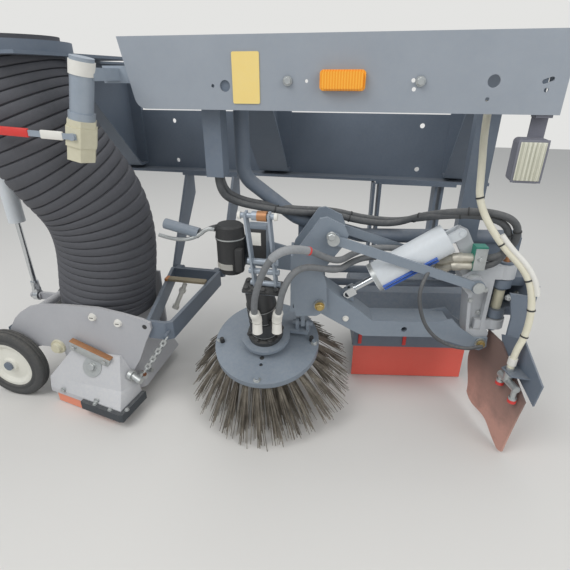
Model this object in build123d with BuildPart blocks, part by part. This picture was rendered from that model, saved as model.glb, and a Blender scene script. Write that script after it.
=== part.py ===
from build123d import *
from math import atan2, cos, degrees, radians, sin, tan
import os

os.makedirs("parts", exist_ok=True)

# Side sweeping unit of a street sweeper truck, in millimetres.
# +X points to the front of the truck, +Y in towards its middle, +Z up.
# The origin is the centre of the bolt pattern on the back of the mounting plate.

# Ground and common clearances
ground_z = -800.0
ground_clearance = 3.0
seat_gap = 0.3
pin_clearance = 0.05
drift_clearance = 0.4
eye_clearance = 1.9

# Mounting plate
mount_length = 1520.0
mount_height = 240.0
mount_wall = 10.0
mount_lip = 60.0
bolt_span_x = 1000.0
bolt_span_z = 160.0
bolt_hole_diameter = 18.0

# Side rail
rail_face_y = -695.0
rail_wall = 5.0
rail_bottom = 173.0
rail_height = 162.0
rail_left_low = -268.0
rail_left_top = -300.0
rail_right = 722.0
rail_flange = 40.0
rail_corner = 30.0

# Outriggers between the plate and the rail
outrigger_top = 295.0
outrigger_depth = 100.0
outrigger_wall = 8.0
outrigger_foot = -96.0
outrigger_foot_reach = 60.0
outrigger_knee = 370.0
rear_outrigger_x = -60.0
rear_outrigger_half = 60.0
front_outrigger_x = 640.0
front_outrigger_half = 45.0
hose_outrigger_x = -690.0
hose_outrigger_half = 50.0
hose_outrigger_reach = 455.0

# Kingpin and the arm plane, a vertical plane through the kingpin along the arm
kingpin_x = 750.0
kingpin_y = -497.0
arm_yaw = 9.8
kingpin_radius = 14.0
kingpin_top = -250.0
kingpin_bottom = -478.0
lower_pivot = (43.0, -506.0)
upper_pivot = (98.0, -300.0)
carrier_pivot = (552.0, -372.0)
link_pivot = (521.0, -160.0)
pivot_radius = 12.0

# Widths across the arm, measured from the arm plane
arm_half = 42.0
plate_wall = 10.0
side_gap = 5.0
carrier_half = arm_half + side_gap + plate_wall
link_half = carrier_half + side_gap + plate_wall

# Hanger frame behind the arm
frame_w = 106.0
frame_tube = 22.0
frame_plate = 12.0
stay_tube = 12.0
stay_levels = (-325.0, -372.0)
chord_z = -207.0
leg_t = 788.0
back_plate_left = 28.0
back_plate_right = -81.0
back_plate_bottom = -446.0
drop_plate_t = 592.0
drop_plate_width = 28.0
column_x = 636.0
column_half = 30.0

# Lift cylinder of the broom arm
cylinder_w = -12.0
cylinder_rear = (158.0, -151.0)
cylinder_eye = (466.0, -352.0)
cylinder_radius = 45.0
cylinder_front_gap = 92.0
cylinder_rear_gap = 38.0
piston_rod_radius = 11.0

# Side broom
broom_x = 45.0
broom_y = -632.0
broom_z = -533.0
broom_tilt = 18.0
disc_radius = 170.0
disc_wall = 7.0
disc_rim = 22.0
tuft_count = 28
tuft_root_radius = 148.0
tuft_tip_radius = 275.0
tuft_tip_drop = 190.0
tuft_radius = 5.0
tuft_sweep = 5.0
motor_radius = 46.0
motor_base = 22.0
motor_top = 248.0

# Tilt hinge between the carrier and the broom head
tilt_x = 115.0
tilt_in = 45.0
tilt_up = 56.0

# Suction nozzle
nozzle_plate_y = -722.0
nozzle_plate_wall = 10.0
nozzle_pivot_y = -262.0
nozzle_pivot_z = -480.0
drag_bar_height = 62.0
drag_bar_wall = 12.0
hose_radius = 160.0
hose_bore = 146.0
hose_groove = 6.0
rib_pitch = 27.5
rib_width = 17.0
hose_base = (-562.0, -555.6, -505.0)
nozzle_right = -392.0
nozzle_inner_y = -395.0
nozzle_bottom = -756.0
lip_wall = 14.0

# Nozzle wheels
wheel_radius = 130.0
wheel_width = 44.0
wheel_x = -857.0
nozzle_wheel_gap = 15.0
wheel_z = ground_z + wheel_radius
nozzle_left = wheel_x + wheel_radius + nozzle_wheel_gap
outer_wheel_y = -758.0
inner_wheel_y = -350.0
rim_radius = 86.0
axle_radius = 10.0

# Roller broom under its hood
roller_yaw = 9.6
roller_x = 497.0
roller_y = -202.0
roller_length = 380.0
roller_radius = 140.0
roller_core = 55.0
roller_z = ground_z + roller_radius + ground_clearance
hood_gap = 24.0
hood_wall = 4.0
hood_front = 178.0
hood_skirt_top = -662.0


def arm_point(t, z, w=0.0):
    """Point at t along the arm from the kingpin, w in from the arm plane."""
    turn = radians(arm_yaw)
    x = kingpin_x - t * cos(turn) - w * sin(turn)
    y = kingpin_y - t * sin(turn) + w * cos(turn)
    return (x, y, z)


def arm_side(w=0.0):
    """Vertical plane along the arm: local x is t, local y is Z, out along w."""
    turn = radians(arm_yaw)
    return Plane(
        origin=arm_point(0.0, 0.0, w),
        x_dir=(-cos(turn), -sin(turn), 0.0),
        z_dir=(-sin(turn), cos(turn), 0.0),
    )


def arm_level(z):
    """Level plane at height z: local x is t, local y is minus w."""
    turn = radians(arm_yaw)
    return Plane(
        origin=arm_point(0.0, z),
        x_dir=(-cos(turn), -sin(turn), 0.0),
        z_dir=(0.0, 0.0, 1.0),
    )


def round_bar(start, end, radius, bore=0.0):
    """A straight round bar or tube from start to end."""
    run = Vector(*end) - Vector(*start)
    with BuildPart() as bar:
        with BuildSketch(Plane(origin=start, z_dir=run)):
            Circle(radius)
            if bore:
                Circle(bore, mode=Mode.SUBTRACT)
        extrude(amount=run.length)
    return bar.part


def side_plate(plane, outline, wall):
    """A plate of the given outline, its wall centred on the plane."""
    with BuildPart() as plate:
        with BuildSketch(plane):
            with BuildLine():
                Polyline(*outline, close=True)
            make_face()
        extrude(amount=wall / 2, both=True)
    return plate.part


def cord_tube(points, radius):
    """A hose along its route, with arcs as large as its runs allow."""
    radii = []
    for before, corner, after in zip(points, points[1:], points[2:]):
        run_in = Vector(*corner) - Vector(*before)
        run_out = Vector(*after) - Vector(*corner)
        half_turn = radians(run_in.get_angle(run_out)) / 2
        radii.append(0.45 * min(run_in.length, run_out.length) / tan(half_turn))
    print("hose radii", [round(value) for value in radii])
    with BuildPart() as hose:
        with BuildLine():
            route = FilletPolyline(*points, radius=radii)
        with BuildSketch(Plane(origin=route @ 0, z_dir=route % 0)):
            Circle(radius)
        sweep()
    return hose.part


def save_cord(points, radius, name):
    """Model a hose along its route and write it."""
    with BuildPart() as cord:
        add(cord_tube(points, radius))
    save(cord, name)


def save(piece, name):
    """Label a finished piece and write it."""
    piece.part.label = name
    export_step(piece.part, "parts/" + name + ".step")


# Mounting plate: a long plate with three upright tabs and a lower lip
outriggers = (
    # name, x, half width, reach from the plate's back
    ("rear_outrigger", rear_outrigger_x, rear_outrigger_half, -rail_face_y - rail_wall - seat_gap),
    ("front_outrigger", front_outrigger_x, front_outrigger_half, -rail_face_y - rail_wall - seat_gap),
    ("hose_outrigger", hose_outrigger_x, hose_outrigger_half, hose_outrigger_reach),
)
tab_height = outrigger_top + mount_height / 2
with BuildPart() as mounting_plate:
    with BuildSketch(Plane.XZ):
        Rectangle(mount_length, mount_height)
        for name, x, half_width, reach in outriggers:
            with Locations((x, outrigger_top - tab_height / 2)):
                Rectangle(2 * half_width, tab_height)
        with GridLocations(bolt_span_x, bolt_span_z, 2, 2):
            Circle(bolt_hole_diameter / 2, mode=Mode.SUBTRACT)
    extrude(amount=mount_wall)
    with BuildSketch(Plane.XZ.offset(mount_wall)):
        with Locations((0, (mount_wall - mount_height) / 2)):
            Rectangle(mount_length, mount_wall)
    extrude(amount=mount_lip)
save(mounting_plate, "mounting_plate")

# Outriggers: plate girders with a tapered web, bolted to the plate
for name, x, half_width, reach in outriggers:
    back = mount_wall + seat_gap
    outline = (
        (-back, outrigger_foot),
        (-back, outrigger_top),
        (-reach, outrigger_top),
        (-reach, outrigger_top - outrigger_depth),
        (-min(outrigger_knee, reach - outrigger_depth), outrigger_top - outrigger_depth),
        (-back - outrigger_foot_reach, outrigger_foot),
    )
    with BuildPart() as outrigger:
        with BuildSketch(Plane.YZ.offset(x)):
            with BuildLine():
                Polyline(*outline, close=True)
            make_face()
            offset(amount=-outrigger_wall, kind=Kind.INTERSECTION, mode=Mode.SUBTRACT)
        extrude(amount=half_width, both=True)
        with BuildSketch(Plane.YZ.offset(x)):
            with BuildLine():
                Polyline(*outline, close=True)
            make_face()
        extrude(amount=outrigger_wall / 2, both=True)
    save(outrigger, name)

# Side rail: a folded plate with flanges, a gusset at its front end and its holes
rail_inner_y = rail_face_y + rail_wall
rail_top = rail_bottom + rail_height
rail_holes = (
    # x, z, diameter
    (-29.0, 227.0, 26.0),
    (577.0, 239.0, 26.0),
    (-60.0, 227.0, 8.0),
    (170.0, 238.0, 8.0),
    (410.0, 240.0, 9.0),
    (420.0, 241.0, 9.0),
    (413.0, 222.0, 9.0),
    (570.0, 203.0, 9.0),
    (683.0, 222.0, 9.0),
)
with BuildPart() as side_rail:
    with BuildSketch(Plane.XZ.offset(-rail_inner_y)) as rail_web:
        with BuildLine():
            Polyline(
                (rail_left_low, rail_bottom),
                (rail_right, rail_bottom),
                (rail_right, rail_top),
                (rail_left_top, rail_top),
                close=True,
            )
        make_face()
        fillet(rail_web.vertices().sort_by_distance((rail_left_low, rail_bottom))[0], rail_corner)
        for x, z, diameter in rail_holes:
            with Locations((x, z)):
                Circle(diameter / 2, mode=Mode.SUBTRACT)
        with Locations((683.0, 241.0)):
            SlotOverall(24.0, 9.0, rotation=20, mode=Mode.SUBTRACT)
    extrude(amount=rail_wall)
    flange_left = rail_left_low + rail_corner
    with BuildSketch(Plane.XZ.offset(-rail_inner_y - rail_flange)):
        for z in (rail_bottom + rail_wall / 2, rail_top - rail_wall / 2):
            with Locations(((flange_left + rail_right) / 2, z)):
                Rectangle(rail_right - flange_left, rail_wall)
    extrude(amount=rail_flange)
    with BuildSketch(Plane.YZ.offset(rail_right - rail_wall)):
        with BuildLine():
            Polyline(
                (rail_inner_y, rail_bottom),
                (rail_inner_y + rail_flange + 40, rail_bottom),
                (rail_inner_y + rail_flange + 90, rail_top),
                (rail_inner_y, rail_top),
                close=True,
            )
        make_face()
    extrude(amount=rail_wall)
save(side_rail, "side_rail")

# Post that brings the hoses down from the rear outrigger
post_x = -90.0
post_y = -620.0
post_width = 50.0
post_wall = 4.0
post_bottom = -5.0
post_top = outrigger_top - outrigger_depth - seat_gap
with BuildPart() as hose_post:
    with BuildSketch(Plane.XY.offset(post_bottom)):
        with Locations((post_x, post_y)):
            Rectangle(post_width, post_width)
            Rectangle(post_width - 2 * post_wall, post_width - 2 * post_wall, mode=Mode.SUBTRACT)
    extrude(amount=post_top - post_bottom)
save(hose_post, "hose_post")

# Hanger frame: bent tube, column, stays and end plates behind the arm
chord_path = [
    arm_point(leg_t, post_top, frame_w),
    arm_point(leg_t, -24.0, frame_w),
    arm_point(626.0, -150.0, frame_w),
    arm_point(420.0, chord_z, frame_w),
    arm_point(back_plate_right + 10.0, chord_z, frame_w),
]
with BuildPart() as hanger_frame:
    with BuildLine():
        chord = FilletPolyline(*chord_path, radius=70.0)
    with BuildSketch(Plane(origin=chord @ 0, z_dir=chord % 0)):
        Circle(frame_tube)
    sweep()
    back_plate = (
        (back_plate_left, chord_z),
        (back_plate_right, chord_z),
        (back_plate_right, back_plate_bottom),
        (back_plate_left, back_plate_bottom),
    )
    add(side_plate(arm_side(frame_w), back_plate, frame_plate))
    drop_plate = (
        (drop_plate_t, -170.0),
        (drop_plate_t + drop_plate_width, -165.0),
        (drop_plate_t + drop_plate_width, stay_levels[1] - 25),
        (drop_plate_t, stay_levels[1] - 25),
    )
    add(side_plate(arm_side(frame_w), drop_plate, frame_plate))
    for z in stay_levels:
        add(
            round_bar(
                arm_point(back_plate_left, z, frame_w),
                arm_point(drop_plate_t, z, frame_w),
                stay_tube,
            )
        )
    column_y = arm_point((kingpin_x - column_x) / cos(radians(arm_yaw)), 0.0, frame_w)[1]
    with BuildSketch(Plane.XY.offset(chord_z)):
        with Locations((column_x, column_y)):
            Rectangle(2 * column_half, 2 * column_half)
    extrude(amount=post_top - chord_z)
save(hanger_frame, "hanger_frame")

# Kingpin bracket: two ears, a side plate, a flange bolted to the back plate and the pin
ear_radius = 28.0
ear_wall = 28.0
upper_ear = -325.0
lower_ear = -428.0
bracket_flange_w = frame_w - frame_plate / 2 - seat_gap
flange_wall = 12.0
bracket_side_w = -62.0
with BuildPart() as kingpin_bracket:
    for z in (upper_ear, lower_ear):
        with BuildSketch(arm_level(z)):
            Circle(ear_radius)
            with Locations(((back_plate_right + ear_radius) / 2, -bracket_flange_w / 2)):
                Rectangle(ear_radius - back_plate_right, bracket_flange_w)
        extrude(amount=ear_wall)
    flange = (
        (back_plate_left, upper_ear + ear_wall + 6),
        (back_plate_right, upper_ear + ear_wall + 6),
        (back_plate_right, lower_ear - 6),
        (back_plate_left, lower_ear - 6),
    )
    add(side_plate(arm_side(bracket_flange_w - flange_wall / 2), flange, flange_wall))
    with BuildSketch(arm_level(lower_ear)):
        with Locations((back_plate_right + 6, -(bracket_flange_w + bracket_side_w) / 2)):
            Rectangle(12, bracket_flange_w - bracket_side_w)
    extrude(amount=upper_ear + ear_wall - lower_ear)
    with BuildSketch(Plane.XY.offset(kingpin_bottom)):
        with Locations((kingpin_x, kingpin_y)):
            Circle(kingpin_radius)
    extrude(amount=kingpin_top - kingpin_bottom)
    with BuildSketch(Plane.XY.offset(kingpin_top)):
        with Locations((kingpin_x, kingpin_y)):
            Circle(kingpin_radius + 8)
    extrude(amount=6)
save(kingpin_bracket, "kingpin_bracket")

# Swing head: cast C that turns on the kingpin and carries the arm's two pivots
boss_radius = 32.0
top_boss = (upper_ear + ear_wall + 4, kingpin_top - seat_gap)
bottom_boss = (-464.0, lower_ear - 4)
spine_half = 30.0
web_half = 9.0
pocket = (
    (48.0, -326.0),
    (86.0, -334.0),
    (94.0, -350.0),
    (80.0, -466.0),
    (46.0, -466.0),
    (48.0, -440.0),
)
with BuildPart() as swing_head:
    spine = (
        (36.0, -288.0),
        (62.0, -262.0),
        (100.0, -258.0),
        (132.0, -282.0),
        (126.0, -322.0),
        (104.0, -345.0),
        (88.0, -480.0),
        (60.0, -532.0),
        (26.0, -532.0),
        (18.0, -480.0),
        (36.0, -440.0),
    )
    add(side_plate(arm_side(), spine, 2 * spine_half))
    for side in (-1, 1):
        pocket_w = side * (web_half + spine_half) / 2
        add(side_plate(arm_side(pocket_w), pocket, spine_half - web_half), mode=Mode.SUBTRACT)
    for low, high in (top_boss, bottom_boss):
        with BuildSketch(arm_level(low)):
            Circle(boss_radius)
            with Locations((36.0, 0.0)):
                Rectangle(60.0, 2 * boss_radius - 8)
        extrude(amount=high - low)
    with BuildSketch(arm_side()):
        with Locations(upper_pivot):
            Circle(26.0)
    extrude(amount=carrier_half, both=True)
    mast = (
        (70.0, -262.0),
        (118.0, -262.0),
        (cylinder_rear[0] + 16.0, cylinder_rear[1] - 16),
        (cylinder_rear[0] + 4.0, cylinder_rear[1] + 18),
        (cylinder_rear[0] - 20.0, cylinder_rear[1] + 8),
    )
    add(side_plate(arm_side(cylinder_w), mast, 14.0))
    with BuildSketch(arm_level(kingpin_bottom - 5)):
        Circle(kingpin_radius + pin_clearance)
    extrude(amount=kingpin_top - kingpin_bottom + 10, mode=Mode.SUBTRACT)
    with BuildSketch(arm_side()):
        with Locations(lower_pivot, upper_pivot):
            Circle(pivot_radius + pin_clearance)
    extrude(amount=120, both=True, mode=Mode.SUBTRACT)
    with BuildSketch(arm_side()):
        with Locations(cylinder_rear):
            Circle(8 + pin_clearance)
    extrude(amount=120, both=True, mode=Mode.SUBTRACT)
save(swing_head, "swing_head")

# Main arm: a cranked box with a fork at the swing head and a lug for the cylinder
box_top = -435.0
box_bottom = -490.0
arm_end_t = 150.0
cheek_gap = spine_half + 4.0
with BuildPart() as main_arm:
    crank = (
        (arm_end_t, box_top),
        (385.0, box_top),
        (425.0, -402.0),
        (538.0, -318.0),
        (568.0, -322.0),
        (588.0, -352.0),
        (582.0, -392.0),
        (552.0, -408.0),
        (452.0, -468.0),
        (410.0, box_bottom),
        (arm_end_t, box_bottom),
    )
    add(side_plate(arm_side(), crank, 2 * arm_half))
    cheek = (
        (arm_end_t + 40, box_top),
        (arm_end_t - 10, -425.0),
        (112.0, -455.0),
        (62.0, -490.0),
        (22.0, -488.0),
        (20.0, -522.0),
        (40.0, -536.0),
        (arm_end_t + 40, box_bottom),
    )
    cheek_wall = arm_half - cheek_gap
    for side in (-1, 1):
        add(side_plate(arm_side(side * (cheek_gap + cheek_wall / 2)), cheek, cheek_wall))
    lug = (
        (cylinder_eye[0] - 22, -380.0),
        (cylinder_eye[0] + 26, -364.0),
        (cylinder_eye[0] + 12, cylinder_eye[1] + 8),
        (cylinder_eye[0], cylinder_eye[1] + 14),
        (cylinder_eye[0] - 13, cylinder_eye[1] + 5),
    )
    add(side_plate(arm_side(cylinder_w), lug, 14.0))
    with BuildSketch(arm_side()):
        with Locations(lower_pivot, carrier_pivot):
            Circle(pivot_radius + pin_clearance)
        with Locations(cylinder_eye):
            Circle(8 + pin_clearance)
        with Locations((284.0, -464.0)):
            Circle(9)
    extrude(amount=120, both=True, mode=Mode.SUBTRACT)
save(main_arm, "main_arm")

# Upper links: two flat bars outside the carrier's plates
link_rise = atan2(link_pivot[1] - upper_pivot[1], link_pivot[0] - upper_pivot[0])
link_bar_half = 13.0
link_boss = 20.0
with BuildPart() as upper_links:
    for side in (-1, 1):
        with BuildSketch(arm_side(side * (link_half - plate_wall / 2))):
            with Locations(
                ((link_pivot[0] + upper_pivot[0]) / 2, (link_pivot[1] + upper_pivot[1]) / 2)
            ):
                SlotCenterToCenter(
                    Vector(link_pivot[0] - upper_pivot[0], link_pivot[1] - upper_pivot[1]).length,
                    2 * link_bar_half,
                    rotation=degrees(link_rise),
                )
            with Locations(upper_pivot, link_pivot):
                Circle(link_boss)
            with Locations(upper_pivot):
                Circle(pivot_radius + pin_clearance, mode=Mode.SUBTRACT)
            with Locations(link_pivot):
                Circle(pivot_radius + drift_clearance, mode=Mode.SUBTRACT)
        extrude(amount=plate_wall / 2, both=True)
save(upper_links, "upper_links")

# Carrier: outline of its two D-shaped plates, which hold the broom head level
carrier_w = carrier_half - plate_wall / 2
carrier_outline = (
    (540.0, -100.0),
    (490.0, -124.0),
    (478.0, -152.0),
    (492.0, -184.0),
    (548.0, -262.0),
    (534.0, -300.0),
    (528.0, -392.0),
    (560.0, -412.0),
    (622.0, -414.0),
    (640.0, -330.0),
    (640.0, -246.0),
    (628.0, -205.0),
    (560.0, -104.0),
)
# Pins of the linkage, each with a head at both ends
pin_sets = (
    # name, then centre in the arm plane and half length of each pin
    ("head_pins", ((lower_pivot, arm_half + 6), (upper_pivot, link_half + 6))),
    ("carrier_pins", ((carrier_pivot, carrier_half + 6), (link_pivot, link_half + 6))),
)
for name, pins in pin_sets:
    with BuildPart() as pin_set:
        for centre, half_length in pins:
            with BuildSketch(arm_side()):
                with Locations(centre):
                    Circle(pivot_radius)
            extrude(amount=half_length, both=True)
            for side in (-1, 1):
                with BuildSketch(arm_side(side * (half_length - 2.5))):
                    with Locations(centre):
                        Circle(pivot_radius + 5)
                extrude(amount=2.5, both=True)
    save(pin_set, name)

# Lift cylinder: barrel on the swing head's mast, rod on the arm's lug
run_t = cylinder_eye[0] - cylinder_rear[0]
run_z = cylinder_eye[1] - cylinder_rear[1]
cylinder_length = Vector(run_t, run_z).length
run_t = run_t / cylinder_length
run_z = run_z / cylinder_length


def on_cylinder(distance):
    """Point on the cylinder's axis, measured from its rear pin."""
    return arm_point(
        cylinder_rear[0] + distance * run_t,
        cylinder_rear[1] + distance * run_z,
        cylinder_w,
    )


barrel_end = cylinder_length - cylinder_front_gap
with BuildPart() as lift_barrel:
    add(round_bar(on_cylinder(cylinder_rear_gap), on_cylinder(barrel_end), cylinder_radius))
    for side in (-1, 1):
        fork = (
            (cylinder_rear[0] - 14 * run_z, cylinder_rear[1] + 14 * run_t),
            (cylinder_rear[0] + 40 * run_t - 14 * run_z, cylinder_rear[1] + 40 * run_z + 14 * run_t),
            (cylinder_rear[0] + 40 * run_t + 14 * run_z, cylinder_rear[1] + 40 * run_z - 14 * run_t),
            (cylinder_rear[0] + 14 * run_z, cylinder_rear[1] - 14 * run_t),
        )
        add(side_plate(arm_side(cylinder_w + side * 14), fork, 10.0))
        with BuildSketch(arm_side(cylinder_w + side * 14)):
            with Locations(cylinder_rear):
                Circle(14)
        extrude(amount=5, both=True)
    with BuildSketch(arm_side(cylinder_w)):
        with Locations(cylinder_rear):
            Circle(8)
    extrude(amount=22, both=True)
    add(
        round_bar(on_cylinder(cylinder_rear_gap + 8), on_cylinder(barrel_end + 1), piston_rod_radius + 0.3),
        mode=Mode.SUBTRACT,
    )
save(lift_barrel, "lift_barrel")

with BuildPart() as lift_rod:
    add(round_bar(on_cylinder(cylinder_rear_gap + 80), on_cylinder(cylinder_length - 16), piston_rod_radius))
    for side in (-1, 1):
        fork = (
            (cylinder_eye[0] - 13 * run_z, cylinder_eye[1] + 13 * run_t),
            (cylinder_eye[0] - 26 * run_t - 13 * run_z, cylinder_eye[1] - 26 * run_z + 13 * run_t),
            (cylinder_eye[0] - 26 * run_t + 13 * run_z, cylinder_eye[1] - 26 * run_z - 13 * run_t),
            (cylinder_eye[0] + 13 * run_z, cylinder_eye[1] - 13 * run_t),
        )
        add(side_plate(arm_side(cylinder_w + side * 12), fork, 7.0))
        with BuildSketch(arm_side(cylinder_w + side * 12)):
            with Locations(cylinder_eye):
                Circle(13)
                Circle(8.5, mode=Mode.SUBTRACT)
        extrude(amount=3.5, both=True)
    add(round_bar(on_cylinder(cylinder_length - 28), on_cylinder(cylinder_length - 18), 15.5))
save(lift_rod, "lift_rod")

# Side broom: the plane through the disc's centre, square to its axis
lean = radians(broom_tilt)
broom_plane = Plane(
    origin=(broom_x, broom_y, broom_z),
    x_dir=(1.0, 0.0, 0.0),
    z_dir=(0.0, -sin(lean), cos(lean)),
)


def broom_point(place):
    """Place given in the broom's own frame, its third value up along the axis."""
    return Vector(*broom_plane.from_local_coords(place))


stud_angles = (188.0, 272.0, 4.0)
with BuildPart() as broom_disc:
    with BuildSketch(broom_plane.offset(-disc_rim)):
        Circle(disc_radius)
    extrude(amount=disc_rim)
    with BuildSketch(broom_plane.offset(-disc_rim)):
        Circle(disc_radius - disc_wall)
    extrude(amount=disc_rim - disc_wall, mode=Mode.SUBTRACT)
    with BuildSketch(broom_plane.offset(-disc_rim)):
        Circle(tuft_root_radius + 10)
        Circle(tuft_root_radius - 34, mode=Mode.SUBTRACT)
    extrude(amount=disc_rim - disc_wall)
    with BuildSketch(broom_plane.offset(-disc_wall)):
        with Locations((4.0, -0.58 * disc_radius)):
            Circle(6.0)
    extrude(amount=disc_wall, mode=Mode.SUBTRACT)
    for angle in stud_angles:
        with BuildSketch(broom_plane):
            with Locations(Vector(disc_radius - 14, 0).rotate(Axis.Z, angle)):
                Circle(6.5)
        extrude(amount=14)
    with BuildSketch(broom_plane):
        Circle(24)
    extrude(amount=motor_base + 6)
save(broom_disc, "broom_disc")

# Bristles: tufts of flat wire in two rows, flaring out under the disc
tuft_rows = (
    # root radius, tip radius, tip drop, turn of the row in tuft pitches
    (tuft_root_radius, tuft_tip_radius, tuft_tip_drop, 0.0),
    (tuft_root_radius - 24, tuft_tip_radius - 62, tuft_tip_drop + 6, 0.5),
)
tufts = []
for root, tip, drop, turn in tuft_rows:
    for index in range(tuft_count):
        angle = 360 * (index + turn) / tuft_count
        start = broom_point(Vector(root, 0, -disc_rim - 3).rotate(Axis.Z, angle))
        end = broom_point(Vector(tip, 0, -drop).rotate(Axis.Z, angle + tuft_sweep))
        with BuildPart() as tuft:
            with BuildSketch(Plane(origin=start, z_dir=end - start)):
                RegularPolygon(tuft_radius, 4)
            with BuildSketch(Plane(origin=end, z_dir=end - start)):
                RegularPolygon(1.7 * tuft_radius, 4)
            loft()
        tufts.append(tuft.part)
with BuildPart() as broom_bristles:
    with BuildSketch(broom_plane.offset(-disc_rim - seat_gap)):
        Circle(tuft_root_radius + 9)
        Circle(tuft_root_radius - 33, mode=Mode.SUBTRACT)
    extrude(amount=-6)
    add(tufts)
save(broom_bristles, "broom_bristles")

# Motor plate: flange over the disc with two lugs up to the tilt pin
hinge = Vector(tilt_x, tilt_in, tilt_up)
lug_wall = 10.0
lug_spread = 17.0
plate_low = motor_base
plate_high = motor_base + 12
with BuildPart() as motor_plate:
    with BuildSketch(broom_plane.offset(plate_low)):
        Circle(78)
        with Locations((tilt_x / 2 + 14, tilt_in)):
            Rectangle(tilt_x + 10, 44)
        Circle(27, mode=Mode.SUBTRACT)
    extrude(amount=plate_high - plate_low)
    for side in (-1, 1):
        lug_plane = Plane(
            origin=broom_point(hinge + Vector(side * lug_spread, 0, 0)),
            x_dir=broom_point(Vector(0, 1, 0)) - broom_point(Vector(0, 0, 0)),
            z_dir=(1.0, 0.0, 0.0),
        )
        with BuildSketch(lug_plane):
            Circle(15)
            with Locations((0, (plate_low - tilt_up) / 2)):
                Rectangle(30, tilt_up - plate_low)
            Circle(8 + pin_clearance, mode=Mode.SUBTRACT)
        extrude(amount=lug_wall / 2, both=True)
save(motor_plate, "motor_plate")

# Hydraulic motor: stacked housings, each a step of one turned profile
motor_steps = (
    # radius, bottom, top
    (56.0, plate_high + seat_gap, plate_high + 16),
    (motor_radius - 4, plate_high + 16, 62.0),
    (motor_radius, 62.0, 118.0),
    (motor_radius - 5, 118.0, 124.0),
    (motor_radius, 124.0, 176.0),
    (motor_radius - 3, 176.0, motor_top),
)
motor_ports = (Vector(46.0, -742.0, -434.0), Vector(102.0, -728.0, -434.0))
with BuildPart() as hydraulic_motor:
    for radius, low, high in motor_steps:
        with BuildSketch(broom_plane.offset(low)):
            Circle(radius)
        extrude(amount=high - low)
    with BuildSketch(broom_plane.offset(plate_high + seat_gap)):
        Circle(25)
    extrude(amount=-6)
    for port in motor_ports:
        add(round_bar(port, port + Vector(0, 0, 34), 12.0))
        inner = Vector(broom_x, broom_y - 40, port.Z + 14)
        add(round_bar(inner, Vector(port.X, port.Y, port.Z + 14), 9.0))
save(hydraulic_motor, "hydraulic_motor")

# Tilt ladder: base plate, two flat bars, three spacer tubes and the top pin
ladder_foot = Vector(24.0, -8.0, motor_top + 10)
ladder_head = Vector(18.0, 16.0, 490.0)
ladder_spread = 31.0
ladder_bar = (26.0, 6.0)
spacers = (0.04, 0.22, 0.36)
ladder_run = ladder_head - ladder_foot
with BuildPart() as tilt_ladder:
    with BuildSketch(broom_plane.offset(motor_top + seat_gap)):
        with Locations((14, -9)):
            Rectangle(110, 52)
    extrude(amount=10)
    for side in (-1, 1):
        start = broom_point(ladder_foot + Vector(side * ladder_spread, 0, 0))
        end = broom_point(ladder_head + Vector(side * ladder_spread, 0, 0))
        with BuildSketch(Plane(origin=start, x_dir=(0.0, cos(lean), sin(lean)), z_dir=end - start)):
            Rectangle(*ladder_bar)
        extrude(amount=(end - start).length)
    for share in spacers:
        centre = ladder_foot + ladder_run * share
        reach = Vector(ladder_spread + 12, 0, 0)
        add(round_bar(broom_point(centre - reach), broom_point(centre + reach), 8.5))
    centre = ladder_foot + ladder_run * 0.965
    reach = Vector(ladder_spread + 14, 0, 0)
    add(round_bar(broom_point(centre - reach), broom_point(centre + reach), 7.0))
    reach = Vector(14, 0, 0)
    add(round_bar(broom_point(centre - reach), broom_point(centre + reach), 12.0))
save(tilt_ladder, "tilt_ladder")

# Tilt actuator: a turned housing beside the ladder, on a bracket from the carrier
actuator_x = -62.0
actuator_y = -628.0
actuator_radius = 44.0
actuator_bottom = -296.0
actuator_top = -142.0
with BuildPart() as tilt_actuator:
    with BuildSketch(Plane.XZ.offset(-actuator_y)) as half_section:
        with BuildLine():
            Polyline(
                (actuator_x, actuator_bottom),
                (actuator_x + actuator_radius - 12, actuator_bottom),
                (actuator_x + actuator_radius - 2, actuator_bottom + 22),
                (actuator_x + actuator_radius - 2, actuator_top - 46),
                (actuator_x + actuator_radius, actuator_top - 46),
                (actuator_x + actuator_radius, actuator_top - 38),
                (actuator_x + actuator_radius - 3, actuator_top - 6),
                (actuator_x + actuator_radius - 9, actuator_top),
                (actuator_x, actuator_top),
                close=True,
            )
        make_face()
    revolve(axis=Axis((actuator_x, actuator_y, 0), (0, 0, 1)))
save(tilt_actuator, "tilt_actuator")

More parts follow.
